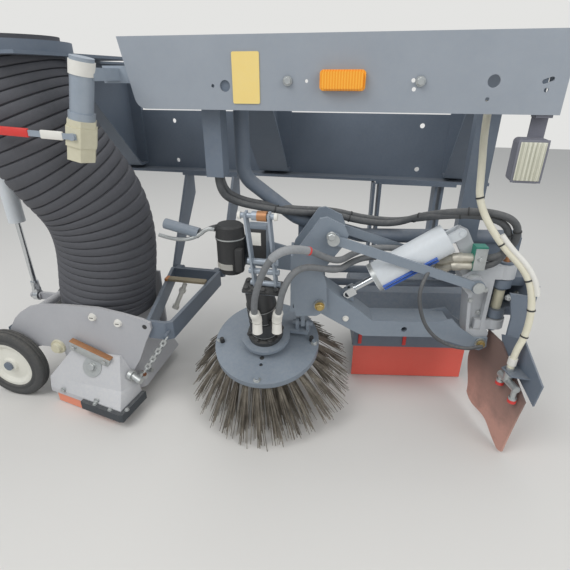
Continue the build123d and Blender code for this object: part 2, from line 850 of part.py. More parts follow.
# Carrier plates with their web, the tilt hanger below and the actuator's bracket behind
pin_centre = broom_point(hinge)
arm_turn = radians(arm_yaw)
from_kingpin = pin_centre - Vector(kingpin_x, kingpin_y, 0)
hinge_t = -from_kingpin.X * cos(arm_turn) - from_kingpin.Y * sin(arm_turn)
hinge_w = -from_kingpin.X * sin(arm_turn) + from_kingpin.Y * cos(arm_turn)
hanger_top = -398.0
bracket_y = actuator_y + actuator_radius - 2 + seat_gap
with BuildPart() as carrier:
    for side in (-1, 1):
        add(side_plate(arm_side(side * carrier_w), carrier_outline, plate_wall))
    web = ((632.0, -400.0), (640.0, -400.0), (640.0, -216.0), (632.0, -216.0))
    add(side_plate(arm_side(), web, 2 * carrier_half))
    with BuildSketch(arm_side()):
        with Locations(carrier_pivot, link_pivot):
            Circle(pivot_radius + pin_clearance)
    extrude(amount=120, both=True, mode=Mode.SUBTRACT)
    hanger = (
        (hinge_t - 6, hanger_top),
        (hinge_t + 6, hanger_top),
        (hinge_t + 6, pin_centre.Z - 9),
        (hinge_t - 6, pin_centre.Z - 9),
    )
    add(side_plate(arm_side(hinge_w), hanger, 20.0))
    cross = (
        (600.0, hanger_top),
        (632.0, hanger_top),
        (632.0, hanger_top + 12),
        (600.0, hanger_top + 12),
    )
    add(side_plate(arm_side(), cross, 2 * carrier_half))
    add(round_bar(pin_centre - Vector(32, 0, 0), pin_centre + Vector(32, 0, 0), 8.0))
    with BuildSketch(Plane.XZ.offset(-bracket_y - 8)):
        with BuildLine():
            Polyline(
                (actuator_x - 44, -214.0),
                (actuator_x + 40, -190.0),
                (118.0, -222.0),
                (118.0, -296.0),
                (actuator_x - 20, -286.0),
                (actuator_x - 44, -262.0),
                close=True,
            )
        make_face()
    extrude(amount=8)
    with BuildSketch(Plane.XZ.offset(-bracket_y)):
        with Locations((18.0, -205.0)):
            Rectangle(58.0, 118.0)
    extrude(amount=36)
save(carrier, "carrier_plates")

# Nozzle drag frame: flat bars on edge with hinge lugs at the inner end
chain_top = Vector(-258.0, -728.0, -501.0)
drag_near_y = nozzle_plate_y + nozzle_plate_wall / 2 + drag_bar_wall / 2 + seat_gap
drag_outline = (
    # x, y of the bars' centre line, from the outer plate round to it again
    (-326.0, drag_near_y),
    (-268.0, drag_near_y),
    (-252.0, -700.0),
    (-238.0, -300.0),
    (-436.0, -300.0),
    (-330.0, -708.0),
)
drag_top = nozzle_pivot_z + 22.0
drag_bottom = drag_top - drag_bar_height
with BuildPart() as drag_frame:
    for start, end in zip(drag_outline, drag_outline[1:]):
        run = Vector(end[0] - start[0], end[1] - start[1])
        with BuildSketch(Plane(origin=(*start, drag_bottom), x_dir=(run.X, run.Y, 0), z_dir=(0, 0, 1))):
            with Locations((run.length / 2, 0)):
                Rectangle(run.length + drag_bar_wall * 0.7, drag_bar_wall)
        extrude(amount=drag_bar_height)
    for x in (-420.0, -256.0):
        with BuildSketch(Plane.YZ.offset(x)):
            with Locations((nozzle_pivot_y, nozzle_pivot_z)):
                Circle(18)
            with Locations((nozzle_pivot_y - 18, nozzle_pivot_z)):
                Rectangle(36, 36)
            with Locations((nozzle_pivot_y, nozzle_pivot_z)):
                Circle(10 + pin_clearance, mode=Mode.SUBTRACT)
        extrude(amount=12, both=True)
    add(round_bar((chain_top.X, -704.0, chain_top.Z + 11), (chain_top.X, -738.0, chain_top.Z + 11), 5.0))
save(drag_frame, "drag_frame")

# Nozzle hinge: bracket down from the mounting plate's lip, with the pin
lip_bottom = -mount_height / 2 - seat_gap
lip_front = -mount_wall - mount_lip
with BuildPart() as nozzle_hinge:
    with BuildSketch(Plane.XY.offset(lip_bottom)):
        with Locations((-338.0, lip_front / 2)):
            Rectangle(240.0, -lip_front)
    extrude(amount=-10)
    for x in (-442.0, -234.0):
        with BuildSketch(Plane.YZ.offset(x)):
            with BuildLine():
                Polyline(
                    (0.0, lip_bottom - 5),
                    (0.0, -220.0),
                    (nozzle_pivot_y + 12, nozzle_pivot_z - 22),
                    (nozzle_pivot_y - 18, nozzle_pivot_z - 12),
                    (nozzle_pivot_y - 14, nozzle_pivot_z + 22),
                    (lip_front, lip_bottom - 5),
                    close=True,
                )
            make_face()
        extrude(amount=5, both=True)
    add(
        round_bar(
            (-452.0, nozzle_pivot_y, nozzle_pivot_z),
            (-224.0, nozzle_pivot_y, nozzle_pivot_z),
            10.0,
        )
    )
save(nozzle_hinge, "nozzle_hinge")

# Nozzle side plates: the curved outer plate and its plain inner twin
plate_outline = (
    (wheel_x - 10, -572.0),
    (wheel_x + 1, -544.0),
    (wheel_x + 33, -500.0),
    (wheel_x + 63, -473.0),
    (wheel_x + 100, -450.0),
    (wheel_x + 146, -436.0),
    (-615.0, -427.0),
    (-494.0, -423.0),
    (-407.0, -435.0),
    (-341.0, -447.0),
    (-314.0, -458.0),
    (-312.0, -480.0),
    (-340.0, -536.0),
    (-370.0, -605.0),
    (-404.0, -660.0),
    (-404.0, -720.0),
    (nozzle_left + 53, -720.0),
    (nozzle_left + 53, -618.0),
    (wheel_x + 138, -602.0),
    (wheel_x + 111, -603.0),
    (wheel_x + 84, -614.0),
)
with BuildPart() as nozzle_outer_plate:
    add(side_plate(Plane.XZ.offset(-nozzle_plate_y), plate_outline, nozzle_plate_wall))
save(nozzle_outer_plate, "nozzle_outer_plate")

inner_plate_y = nozzle_inner_y + nozzle_plate_wall / 2 + seat_gap
inner_outline = (
    (wheel_x - 10, -572.0),
    (wheel_x + 33, -500.0),
    (wheel_x + 100, -450.0),
    (-615.0, -429.0),
    (-446.0, -436.0),
    (-446.0, -720.0),
    (nozzle_left + 53, -720.0),
    (nozzle_left + 53, -618.0),
    (wheel_x + 84, -614.0),
)
with BuildPart() as nozzle_inner_plate:
    add(side_plate(Plane.XZ.offset(-inner_plate_y), inner_outline, nozzle_plate_wall))
save(nozzle_inner_plate, "nozzle_inner_plate")

# Cross tube between the side plates, with the lift lug at its middle
cross_x = wheel_x + 71
cross_z = -500.0
lift_x = wheel_x - 13
lift_eye = (-560.0, -500.0)
lift_pin_radius = 7.0
eye_half = 10.0
with BuildPart() as cross_tube:
    cross_start = nozzle_plate_y + nozzle_plate_wall / 2 + seat_gap
    cross_end = inner_plate_y - nozzle_plate_wall / 2 - seat_gap
    add(round_bar((cross_x, cross_start, cross_z), (cross_x, cross_end, cross_z), 16.0))
    with BuildSketch(Plane.XZ.offset(-lift_eye[0])):
        with BuildLine():
            Polyline(
                (cross_x + 4, cross_z - 14),
                (cross_x + 4, cross_z + 14),
                (lift_x + eye_half + 8, lift_eye[1] + 14),
                (lift_x + eye_half + 8, lift_eye[1] - 14),
                close=True,
            )
        make_face()
    extrude(amount=6, both=True)
    pin_tip = lift_x - eye_half - 8
    add(round_bar((lift_x + eye_half + 9, *lift_eye), (pin_tip, *lift_eye), lift_pin_radius))
    add(round_bar((lift_x + eye_half + 9, *lift_eye), (lift_x + eye_half + 5, *lift_eye), 14.0))
    add(round_bar((pin_tip, *lift_eye), (pin_tip - 6, *lift_eye), 12.0))
save(cross_tube, "cross_tube")

# Nozzle shell: a hood from the road opening up to the round spigot
shell_wall = 6.0
shell_outer_y = nozzle_plate_y + nozzle_plate_wall / 2 + seat_gap + drag_bar_wall + 4
spigot_radius = hose_bore - seat_gap
shell_centre_x = (nozzle_left + nozzle_right) / 2
shell_centre_y = (shell_outer_y + nozzle_inner_y) / 2
shell_length = nozzle_right - nozzle_left
shell_width = nozzle_inner_y - shell_outer_y
spigot_low = -590.0
spigot_high = -470.0
with BuildPart() as nozzle_shell:
    for wall, mode in ((0.0, Mode.ADD), (shell_wall, Mode.SUBTRACT)):
        with BuildSketch(Plane.XY.offset(nozzle_bottom)):
            with Locations((shell_centre_x, shell_centre_y)):
                RectangleRounded(shell_length - 2 * wall, shell_width - 2 * wall, 30)
        with BuildSketch(Plane.XY.offset(spigot_low)):
            with Locations((hose_base[0], hose_base[1])):
                Circle(spigot_radius - wall)
        loft(mode=mode)
        with BuildSketch(Plane.XY.offset(spigot_low)):
            with Locations((hose_base[0], hose_base[1])):
                Circle(spigot_radius - wall)
        extrude(amount=spigot_high - spigot_low, mode=mode)
save(nozzle_shell, "nozzle_shell")

# Nozzle box: the flared road edge outside the plate, open below
box_top_z = -600.0
box_fold_z = -700.0
box_rim_z = -738.0
box_back_y = nozzle_plate_y - nozzle_plate_wall / 2 - seat_gap
box_wall = 5.0
box_corners = ((nozzle_left + 3, -776.0), (-400.0, -840.0))
box_fold = ((nozzle_left + 3, -767.0), (-420.0, -791.0))
box_shoulders = ((nozzle_left + 88, -736.0), (-440.0, -736.0))


def box_outline(inset, corners=box_corners, back_x=-386.0):
    """Plan of the box at one height, pulled in by the wall."""
    (left_x, left_y), (right_x, right_y) = corners
    return (
        (left_x + inset, left_y + inset),
        (right_x - inset, right_y + inset),
        (back_x - inset, box_back_y),
        (left_x + inset, box_back_y),
    )


def box_edge_y(x):
    """Y of the box's lower front edge at x."""
    (left_x, left_y), (right_x, right_y) = box_corners
    return left_y + (right_y - left_y) * (x - left_x) / (right_x - left_x)


box_sections = (
    # height, front corners and right back corner of the plan there
    (box_rim_z, box_corners, -386.0),
    (box_fold_z, box_fold, -392.0),
    (box_top_z, box_shoulders, -438.0),
)


with BuildPart() as nozzle_box:
    for inset, mode in ((0.0, Mode.ADD), (box_wall, Mode.SUBTRACT)):
        for low, high in zip(box_sections, box_sections[1:]):
            for height, corners, back_x in (low, high):
                drop = inset if height == box_top_z else 0.0
                with BuildSketch(Plane.XY.offset(height - drop)):
                    with BuildLine():
                        Polyline(*box_outline(inset, corners, back_x), close=True)
                    make_face()
            loft(ruled=True, mode=mode)
        with BuildSketch(Plane.XY.offset(box_rim_z)):
            with BuildLine():
                Polyline(*box_outline(inset), close=True)
            make_face()
        extrude(amount=nozzle_bottom - box_rim_z - (0 if inset == 0 else 1), mode=mode)
save(nozzle_box, "nozzle_box")

# Rubber lip behind the box's lower edge, and the bumper round its front corner
lip_bottom_z = ground_z + ground_clearance
with BuildPart() as nozzle_lip:
    edge_left = Vector(*box_outline(box_wall)[0])
    edge_right = Vector(*box_outline(box_wall)[1])
    edge_run = (edge_right - edge_left).normalized()
    edge_in = Vector(-edge_run.Y, edge_run.X)
    with BuildSketch(Plane.XY.offset(lip_bottom_z)):
        with BuildLine():
            Polyline(
                edge_left + edge_run * 14 + edge_in * seat_gap,
                edge_right - edge_run * 24 + edge_in * seat_gap,
                edge_right - edge_run * 24 + edge_in * lip_wall,
                edge_left + edge_run * 14 + edge_in * lip_wall,
                close=True,
            )
        make_face()
    extrude(amount=box_rim_z - 8 - lip_bottom_z)
save(nozzle_lip, "nozzle_lip")

bumper_left = -560.0
with BuildPart() as nozzle_bumper:
    with BuildSketch(Plane.XY.offset(nozzle_bottom - 14)):
        with BuildLine():
            Polyline(
                (bumper_left, box_edge_y(bumper_left) - seat_gap - 1),
                (-400.0, -840.0 - seat_gap - 1),
                (-399.0, -840.0 - seat_gap - 1),
                (-385.3, box_back_y),
                (-371.0, box_back_y),
                (-386.0, -854.0),
                (-400.0, -856.0),
                (bumper_left, box_edge_y(bumper_left) - 16),
                close=True,
            )
        make_face()
    extrude(amount=30)
save(nozzle_bumper, "nozzle_bumper")

# Nozzle wheels: rubber tyre on a dished rim, turning on a stub axle
axle_sides = (
    # name, wheel centre y, y of the plate the stub is bolted to, side of the bracket
    ("outer", outer_wheel_y, nozzle_plate_y, 1),
    ("inner", inner_wheel_y, inner_plate_y, -1),
)
for name, centre_y, plate_y, side in axle_sides:
    outward = -side
    with BuildPart() as tyre:
        with BuildSketch(Plane.XY.offset(wheel_z)):
            with Locations((wheel_x + (rim_radius + wheel_radius) / 2, centre_y)):
                RectangleRounded(wheel_radius - rim_radius, wheel_width, 9)
        revolve(axis=Axis((wheel_x, 0, wheel_z), (0, 1, 0)))
    save(tyre, name + "_tyre")
    rim_face = centre_y + outward * (wheel_width / 2 - 5)
    rim_back = centre_y - outward * (wheel_width / 2 - 4)
    hub_end = centre_y - outward * (wheel_width / 2 + 2)
    with BuildPart() as rim:
        with BuildSketch(Plane.XY.offset(wheel_z)):
            with BuildLine():
                Polyline(
                    (wheel_x + axle_radius + pin_clearance, rim_face + outward * 3),
                    (wheel_x + 24, rim_face + outward * 3),
                    (wheel_x + 28, rim_face - outward * 6),
                    (wheel_x + 62, rim_face - outward * 9),
                    (wheel_x + rim_radius - 10, rim_face),
                    (wheel_x + rim_radius - seat_gap, rim_face),
                    (wheel_x + rim_radius - seat_gap, rim_back),
                    (wheel_x + rim_radius - 6, rim_back),
                    (wheel_x + rim_radius - 9, rim_face - outward * 8),
                    (wheel_x + 60, rim_face - outward * 15),
                    (wheel_x + 24, rim_face - outward * 13),
                    (wheel_x + 20, hub_end),
                    (wheel_x + axle_radius + pin_clearance, hub_end),
                    close=True,
                )
            make_face()
        revolve(axis=Axis((wheel_x, 0, wheel_z), (0, 1, 0)))
    save(rim, name + "_rim")
    bracket_middle = plate_y + side * (nozzle_plate_wall / 2 + seat_gap + 5)
    axle_tip = rim_face + outward * 10
    with BuildPart() as axle:
        with BuildSketch(Plane.XZ.offset(-bracket_middle)):
            with BuildLine():
                Polyline(
                    (wheel_x - 26.0, wheel_z),
                    (wheel_x - 20.0, wheel_z + 120.0),
                    (wheel_x + 20.0, wheel_z + 148.0),
                    (wheel_x + 38.0, wheel_z + 140.0),
                    (wheel_x + 60.0, wheel_z + 96.0),
                    (wheel_x + 26.0, wheel_z),
                    close=True,
                )
            make_face()
            with Locations((wheel_x, wheel_z)):
                Circle(26)
        extrude(amount=5, both=True)
        add(round_bar((wheel_x, bracket_middle, wheel_z), (wheel_x, axle_tip, wheel_z), axle_radius))
        add(
            round_bar(
                (wheel_x, bracket_middle, wheel_z),
                (wheel_x, hub_end - outward * seat_gap, wheel_z),
                axle_radius + 6,
            )
        )
        add(
            round_bar(
                (wheel_x, rim_face + outward * (3 + seat_gap), wheel_z),
                (wheel_x, axle_tip, wheel_z),
                axle_radius + 6,
            )
        )
    save(axle, name + "_axle")

# Suction hose from the nozzle's spigot up to its collar on the hose outrigger
collar_x = -672.0
collar_y = -667.0
collar_z = outrigger_top + seat_gap
collar_plate_wall = 8.0
hose_top = 342.0
hose_route = (
    (hose_base[0], hose_base[1], spigot_high + 4),
    (-528.0, -572.0, -160.0),
    (-610.0, -645.0, 80.0),
    (collar_x, collar_y, 290.0),
    (collar_x - 1, collar_y - 1, hose_top),
)
hose_slope = 2.2
hose_bore_steps = 24
with BuildPart() as suction_hose:
    with BuildLine() as hose_line:
        Spline(*hose_route, tangents=((0, 0, 1), (0, 0, 1)))
    hose_axis = hose_line.wire()
    hose_length = hose_axis.length
    rib_count = int(hose_length / rib_pitch)
    groove_radius = hose_radius - hose_groove
    hose_stations = [(0, groove_radius)]
    for rib in range(rib_count):
        rib_middle = (rib + 0.5) * hose_length / rib_count
        hose_stations.append((rib_middle - rib_width / 2 - hose_slope, groove_radius))
        hose_stations.append((rib_middle - rib_width / 2, hose_radius))
        hose_stations.append((rib_middle + rib_width / 2, hose_radius))
        hose_stations.append((rib_middle + rib_width / 2 + hose_slope, groove_radius))
    hose_stations.append((hose_length, groove_radius))
    # The cover, from its foot in the spigot
    with BuildSketch(Plane.XY.offset(hose_base[2])):
        with Locations((hose_base[0], hose_base[1])):
            Circle(groove_radius)
    for distance, radius in hose_stations:
        share = distance / hose_length
        with BuildSketch(Plane(origin=hose_axis @ share, z_dir=hose_axis % share)):
            Circle(radius)
    loft(ruled=True)
    # The smooth bore
    with BuildSketch(Plane.XY.offset(hose_base[2])):
        with Locations((hose_base[0], hose_base[1])):
            Circle(hose_bore)
    for step in range(hose_bore_steps + 1):
        share = step / hose_bore_steps
        with BuildSketch(Plane(origin=hose_axis @ share, z_dir=hose_axis % share)):
            Circle(hose_bore)
    loft(ruled=True, mode=Mode.SUBTRACT)
save(suction_hose, "suction_hose")

with BuildPart() as hose_collar:
    with BuildSketch(Plane.XY.offset(collar_z)):
        with Locations((collar_x - 6, (collar_y - 350) / 2 - 30)):
            Rectangle(390, -collar_y - 350 + 260)
        with Locations((collar_x, collar_y)):
            Circle(hose_radius + 6, mode=Mode.SUBTRACT)
    extrude(amount=collar_plate_wall)
    with BuildSketch(Plane.XY.offset(collar_z)):
        with Locations((collar_x, collar_y)):
            Circle(hose_radius + 26)
            Circle(hose_radius + 2, mode=Mode.SUBTRACT)
    extrude(amount=34)
save(hose_collar, "hose_collar")

# Nozzle lift cylinder on its bracket beside the hose outrigger
lift_top = (lift_x, lift_eye[0], 150.0)
bracket_left = hose_outrigger_x - hose_outrigger_half - seat_gap
with BuildPart() as cylinder_bracket:
    with BuildSketch(Plane.YZ.offset(bracket_left)):
        with BuildLine():
            Polyline(
                (-150.0, outrigger_top - outrigger_depth + 2),
                (-150.0, outrigger_top - 2),
                (-440.0, outrigger_top - 2),
                (-440.0, outrigger_top - outrigger_depth + 2),
                close=True,
            )
        make_face()
    extrude(amount=-10)
    for x in (lift_x - 21, lift_x + 21):
        with BuildSketch(Plane.YZ.offset(x)):
            with BuildLine():
                Polyline(
                    (-360.0, 275.0),
                    (-360.0, 215.0),
                    (lift_top[1] + 14, lift_top[2] - 12),
                    (lift_top[1] - 14, lift_top[2] - 12),
                    (lift_top[1] - 18, lift_top[2] + 24),
                    (-500.0, 275.0),
                    close=True,
                )
            make_face()
            with Locations((lift_top[1], lift_top[2])):
                Circle(8 + pin_clearance, mode=Mode.SUBTRACT)
        extrude(amount=5, both=True)
    with BuildSketch(Plane.XZ.offset(360.0)):
        with Locations(((bracket_left + lift_x - 26) / 2, 245.0)):
            Rectangle(bracket_left - lift_x + 26, 60)
    extrude(amount=10)
save(cylinder_bracket, "cylinder_bracket")

with BuildPart() as nozzle_barrel:
    add(round_bar((lift_x, lift_top[1], 116.0), (lift_x, lift_top[1], -210.0), 27.0))
    with BuildSketch(Plane.YZ.offset(lift_x)):
        with Locations((lift_top[1], lift_top[2])):
            Circle(16)
        with Locations((lift_top[1], lift_top[2] - 20)):
            Rectangle(30, 40)
    extrude(amount=12, both=True)
    add(
        round_bar(
            (lift_x - 27, lift_top[1], lift_top[2]),
            (lift_x + 27, lift_top[1], lift_top[2]),
            8.0,
        )
    )
    add(
        round_bar((lift_x, lift_top[1], 100.0), (lift_x, lift_top[1], -211.0), 9.0 + seat_gap),
        mode=Mode.SUBTRACT,
    )
save(nozzle_barrel, "nozzle_barrel")

with BuildPart() as nozzle_rod:
    add(round_bar((lift_x, lift_top[1], -30.0), (lift_x, lift_top[1], lift_eye[1] + 30), 9.0))
    add(round_bar((lift_x, lift_top[1], lift_eye[1] + 58), (lift_x, lift_top[1], lift_eye[1] + 28), 14.0))
    with BuildSketch(Plane.YZ.offset(lift_x)):
        with Locations(lift_eye):
            Circle(19)
        with Locations((lift_eye[0], lift_eye[1] + 20)):
            Rectangle(24, 20)
        with Locations(lift_eye):
            Circle(lift_pin_radius + eye_clearance, mode=Mode.SUBTRACT)
    extrude(amount=eye_half, both=True)
save(nozzle_rod, "nozzle_rod")

# Drain valve: pipe, valve body and lever, clamped to a bar behind the side rail
valve_y = -800.0
valve_x = -369.0
valve_z = 118.0
pipe_x = -330.0
lever_end = -604.0
valve_steps = (
    # radius and share of the way up the pipe, from and to
    (31.0, 0.0, 0.16),
    (33.0, 0.16, 0.34),
    (31.0, 0.34, 0.48),
    (27.0, 0.48, 1.0),
)
with BuildPart() as drain_valve:
    pipe_foot = Vector(valve_x - 13, valve_y, valve_z - 56)
    pipe_head = Vector(pipe_x, valve_y, 288.0)
    for radius, low, high in valve_steps:
        run = pipe_head - pipe_foot
        add(round_bar(pipe_foot + run * low, pipe_foot + run * high, radius))
    add(round_bar((valve_x, valve_y, valve_z), (valve_x, valve_y - 42, valve_z), 8.5))
    with BuildSketch(Plane.XZ.offset(-valve_y + 34)):
        with Locations(((valve_x + lever_end) / 2, valve_z + 6)):
            Rectangle(valve_x - lever_end + 20, 14, rotation=-3)
    extrude(amount=4)
    with BuildSketch(Plane.XZ.offset(-rail_inner_y - seat_gap)):
        with Locations((-290.0, 252.0)):
            Rectangle(128.0, 40.0)
    extrude(amount=-7)
    with BuildSketch(Plane.XZ.offset(-rail_inner_y - seat_gap)):
        with Locations((pipe_x, 252.0)):
            Rectangle(44.0, 28.0)
    extrude(amount=rail_inner_y - valve_y)
save(drain_valve, "drain_valve")

# Splash flap: steel plate and rubber flap on a bracket from the kingpin bracket
flap_run = Vector(0.33, -0.944, 0)
flap_out = Vector(-0.944, -0.33, 0)
steel_plane = Plane(origin=(760.0, -500.0, 0.0), x_dir=flap_run, z_dir=flap_out)
flap_tilt = 4.0
flap_top = -490.0
rubber_plane = Plane(
    origin=Vector(760.0, -500.0, flap_top) + flap_out * 6.0,
    x_dir=flap_run,
    z_dir=flap_out * cos(radians(flap_tilt)) + Vector(0, 0, sin(radians(flap_tilt))),
)
steel_outline = ((44.0, -470.0), (140.0, -428.0), (250.0, -508.0), (240.0, -585.0), (60.0, -500.0))
flap_foot = ground_z + ground_clearance - flap_top
rubber_edges = (
    # curved inner edge, curved foot and outer edge, each as points down or along it
    ((-12.0, -60.0), (-70.0, -108.0), (-68.0, -150.0), (-40.0, -206.0), (-24.0, -256.0)),
    ((-24.0, -256.0), (20.0, -273.0), (96.0, -268.0), (140.0, -288.0), (176.0, flap_foot + 3)),
    ((176.0, flap_foot + 3), (192.0, flap_foot), (207.0, flap_foot + 6)),
    ((207.0, flap_foot + 6), (211.0, -230.0), (216.0, -160.0), (222.0, -96.0)),
)
rubber_top = ((222.0, -96.0), (150.0, -52.0), (60.0, 2.0), (-12.0, 2.0), (-12.0, -60.0))
flip = round(steel_plane.y_dir.Z)
with BuildPart() as splash_flap:
    with BuildSketch(rubber_plane):
        with BuildLine():
            for edge in rubber_edges:
                Spline(*[(d, flip * z) for d, z in edge])
            Polyline(*[(d, flip * z) for d, z in rubber_top])
        make_face()
    extrude(amount=3, both=True)
save(splash_flap, "splash_flap")

spray_tee = Vector(780.0, -656.0, -556.0)
spray_riser = 46.0
spray_shelf = ((124.0, 0.0), (206.0, 0.0), (184.0, 50.0), (140.0, 50.0))


def flap_point(d, out):
    """Point in plan at d along the flap's steel plate and out from it."""
    place = Vector(760.0, -500.0, 0.0) + flap_run * d + flap_out * out
    return (place.X, place.Y)


flap_bracket_w = bracket_side_w - seat_gap - 4
with BuildPart() as flap_bracket:
    outline = (
        (2.0, -318.0),
        (-74.0, -330.0),
        (-74.0, -470.0),
        (-52.0, -500.0),
        (-19.0, -500.0),
        (-19.0, -400.0),
    )
    add(side_plate(arm_side(flap_bracket_w), outline, 8.0))
    add(side_plate(steel_plane, [(d, flip * z) for d, z in steel_outline], 5.0))
    with BuildSketch(Plane.XY.offset(spray_tee.Z + 34)):
        with BuildLine():
            Polyline(*[flap_point(d, out) for d, out in spray_shelf], close=True)
        make_face()
        with Locations((spray_tee.X, spray_tee.Y)):
            Circle(12 + seat_gap, mode=Mode.SUBTRACT)
    extrude(amount=4)
save(flap_bracket, "flap_bracket")

# Spray bar: tee, two drop tubes and their jets
with BuildPart() as spray_bar:
    add(round_bar(spray_tee - flap_run * 34, spray_tee + flap_run * 48, 11.0))
    add(round_bar(spray_tee, spray_tee + Vector(0, 0, spray_riser), 12.0))
    for shift, drop in ((-26.0, 16.0), (40.0, 30.0)):
        start = spray_tee + flap_run * shift
        add(round_bar(start + Vector(0, 0, 8), start - Vector(0, 0, drop), 8.0))
        add(round_bar(start - Vector(0, 0, drop), start - Vector(0, 0, drop + 18), 11.5))
save(spray_bar, "spray_bar")

# Roller broom: frame across and out from its axis
roller_turn = radians(roller_yaw)
roller_run = Vector(cos(roller_turn), sin(roller_turn), 0)
roller_out = Vector(sin(roller_turn), -cos(roller_turn), 0)


def roller_section(along):
    """Plane across the roller: local x out from its axis, local y is Z."""
    origin = Vector(roller_x, roller_y, 0) + roller_run * along
    return Plane(origin=origin, x_dir=roller_out, z_dir=roller_out.cross(Vector(0, 0, 1)))


hood_half = 211.0
hood_outer = (
    (hood_front, hood_skirt_top),
    (hood_front, -560.0),
    (92.0, -478.0),
    (-96.0, -478.0),
    (-170.0, -530.0),
    (-170.0, -640.0),
)
hinge_a = -168.0
hinge_z = -420.0
with BuildPart() as roller_hood:
    with BuildSketch(roller_section(0.0)):
        with BuildLine():
            Polyline(*hood_outer, close=True)
        make_face()
    extrude(amount=hood_half, both=True)
    with BuildSketch(roller_section(0.0)):
        with BuildLine():
            Polyline(
                (hood_front - hood_wall, hood_skirt_top - 40),
                (hood_front - hood_wall, -560.0 - 2),
                (92.0 - 1, -478.0 - hood_wall),
                (-96.0 + 1, -478.0 - hood_wall),
                (-170.0 + hood_wall, -530.0 - 2),
                (-170.0 + hood_wall, -700.0),
                close=True,
            )
        make_face()
    extrude(amount=hood_half - hood_wall, both=True, mode=Mode.SUBTRACT)
    for side in (-1, 1):
        with BuildSketch(roller_section(side * (hood_half - hood_wall))):
            with Locations((0.0, roller_z)):
                Circle(34.0)
        extrude(amount=hood_wall if side * roller_section(0).z_dir.dot(roller_run) > 0 else -hood_wall)
        add(
            round_bar(
                Vector(roller_x, roller_y, roller_z) + roller_run * (side * (hood_half - 30)),
                Vector(roller_x, roller_y, roller_z) + roller_run * (side * hood_half),
                16.0,
            )
        )
        with BuildSketch(roller_section(side * 120.0)):
            with BuildLine():
                Polyline(
                    (20.0, -479.0),
                    (20.0, -470.0),
                    (hinge_a + 20, hinge_z + 18),
                    (hinge_a - 16, hinge_z + 12),
                    (hinge_a - 16, hinge_z - 18),
                    (-80.0, -479.0),
                    close=True,
                )
            make_face()
            with Locations((hinge_a, hinge_z)):
                Circle(10 + pin_clearance, mode=Mode.SUBTRACT)
        extrude(amount=5, both=True)
save(roller_hood, "roller_hood")

with BuildPart() as roller_skirt:
    with BuildSketch(roller_section(0.0)):
        with Locations((hood_front - hood_wall - seat_gap - 3, (hood_skirt_top + 20 + lip_bottom_z) / 2)):
            Rectangle(6.0, hood_skirt_top + 20 - lip_bottom_z)
    extrude(amount=hood_half - hood_wall - seat_gap, both=True)
save(roller_skirt, "roller_skirt")

strip_count = 14
with BuildPart() as roller_broom:
    with BuildSketch(roller_section(0.0)):
        with Locations((0.0, roller_z)):
            Circle(roller_core)
    extrude(amount=roller_length / 2, both=True)
    with BuildSketch(roller_section(0.0)):
        with Locations((0.0, roller_z)):
            with PolarLocations((roller_core + roller_radius - 4) / 2, strip_count):
                Rectangle(roller_radius - roller_core + 4, 7.0)
    extrude(amount=roller_length / 2 - 6, both=True)
    with BuildSketch(roller_section(0.0)):
        with Locations((0.0, roller_z)):
            Circle(16.0 + pin_clearance)
    extrude(amount=roller_length, both=True, mode=Mode.SUBTRACT)
save(roller_broom, "roller_broom")

with BuildPart() as roller_hinge:
    for side in (-1, 1):
        middle = Vector(roller_x, roller_y, 0) + roller_run * (side * 120.0)
        ear = Vector(middle.X, middle.Y, 0) + roller_out * hinge_a
        for shift in (-12.0, 12.0):
            with BuildSketch(roller_section(side * 120.0 + shift)):
                with BuildLine():
                    Polyline(
                        (hinge_a + 26, lip_bottom - 5),
                        (hinge_a + 20, hinge_z - 10),
                        (hinge_a, hinge_z - 20),
                        (hinge_a - 20, hinge_z - 10),
                        (hinge_a - 26, lip_bottom - 5),
                        close=True,
                    )
                make_face()
            extrude(amount=5, both=True)
        add(
            round_bar(
                Vector(ear.X, ear.Y, hinge_z) - roller_run * 24,
                Vector(ear.X, ear.Y, hinge_z) + roller_run * 24,
                10.0,
            )
        )
    with BuildSketch(Plane.XY.offset(lip_bottom)):
        with Locations((roller_x, lip_front / 2)):
            Rectangle(300.0, -lip_front)
    extrude(amount=-10)
save(roller_hinge, "roller_hinge")

# Lamps and plate on the side rail
with BuildPart() as marker_lamp:
    with BuildSketch(Plane.XZ.offset(-rail_face_y + seat_gap)):
        with Locations((254.0, 240.0)):
            RectangleRounded(104.0, 44.0, 9)
    extrude(amount=10)
    with BuildSketch(Plane.XZ.offset(-rail_face_y + 10)):
        with Locations((254.0, 240.0)):
            RectangleRounded(94.0, 36.0, 8)
    extrude(amount=12)
save(marker_lamp, "marker_lamp")

with BuildPart() as sign_plate:
    with BuildSketch(Plane.XZ.offset(-rail_face_y + seat_gap)):
        with Locations((24.5, 244.0)):
            RectangleRounded(67.0, 112.0, 4)
    extrude(amount=2)
save(sign_plate, "sign_plate")

lamp_bolt_x = 694.0
with BuildPart() as work_lamp:
    with BuildSketch(Plane.XZ.offset(-rail_inner_y - seat_gap)):
        with Locations((lamp_bolt_x, rail_bottom - seat_gap - 3)):
            Rectangle(34.0, 6.0)
    extrude(amount=-36)
    with BuildSketch(Plane.XZ.offset(-rail_inner_y - 30)):
        with Locations((lamp_bolt_x, rail_bottom - 50)):
            Rectangle(34.0, 100.0)
    extrude(amount=5)
    with BuildSketch(Plane.XZ.offset(-rail_inner_y - 26)):
        with Locations((lamp_bolt_x - 12, 76.0)):
            RectangleRounded(66.0, 96.0, 10)
    extrude(amount=40)
save(work_lamp, "work_lamp")

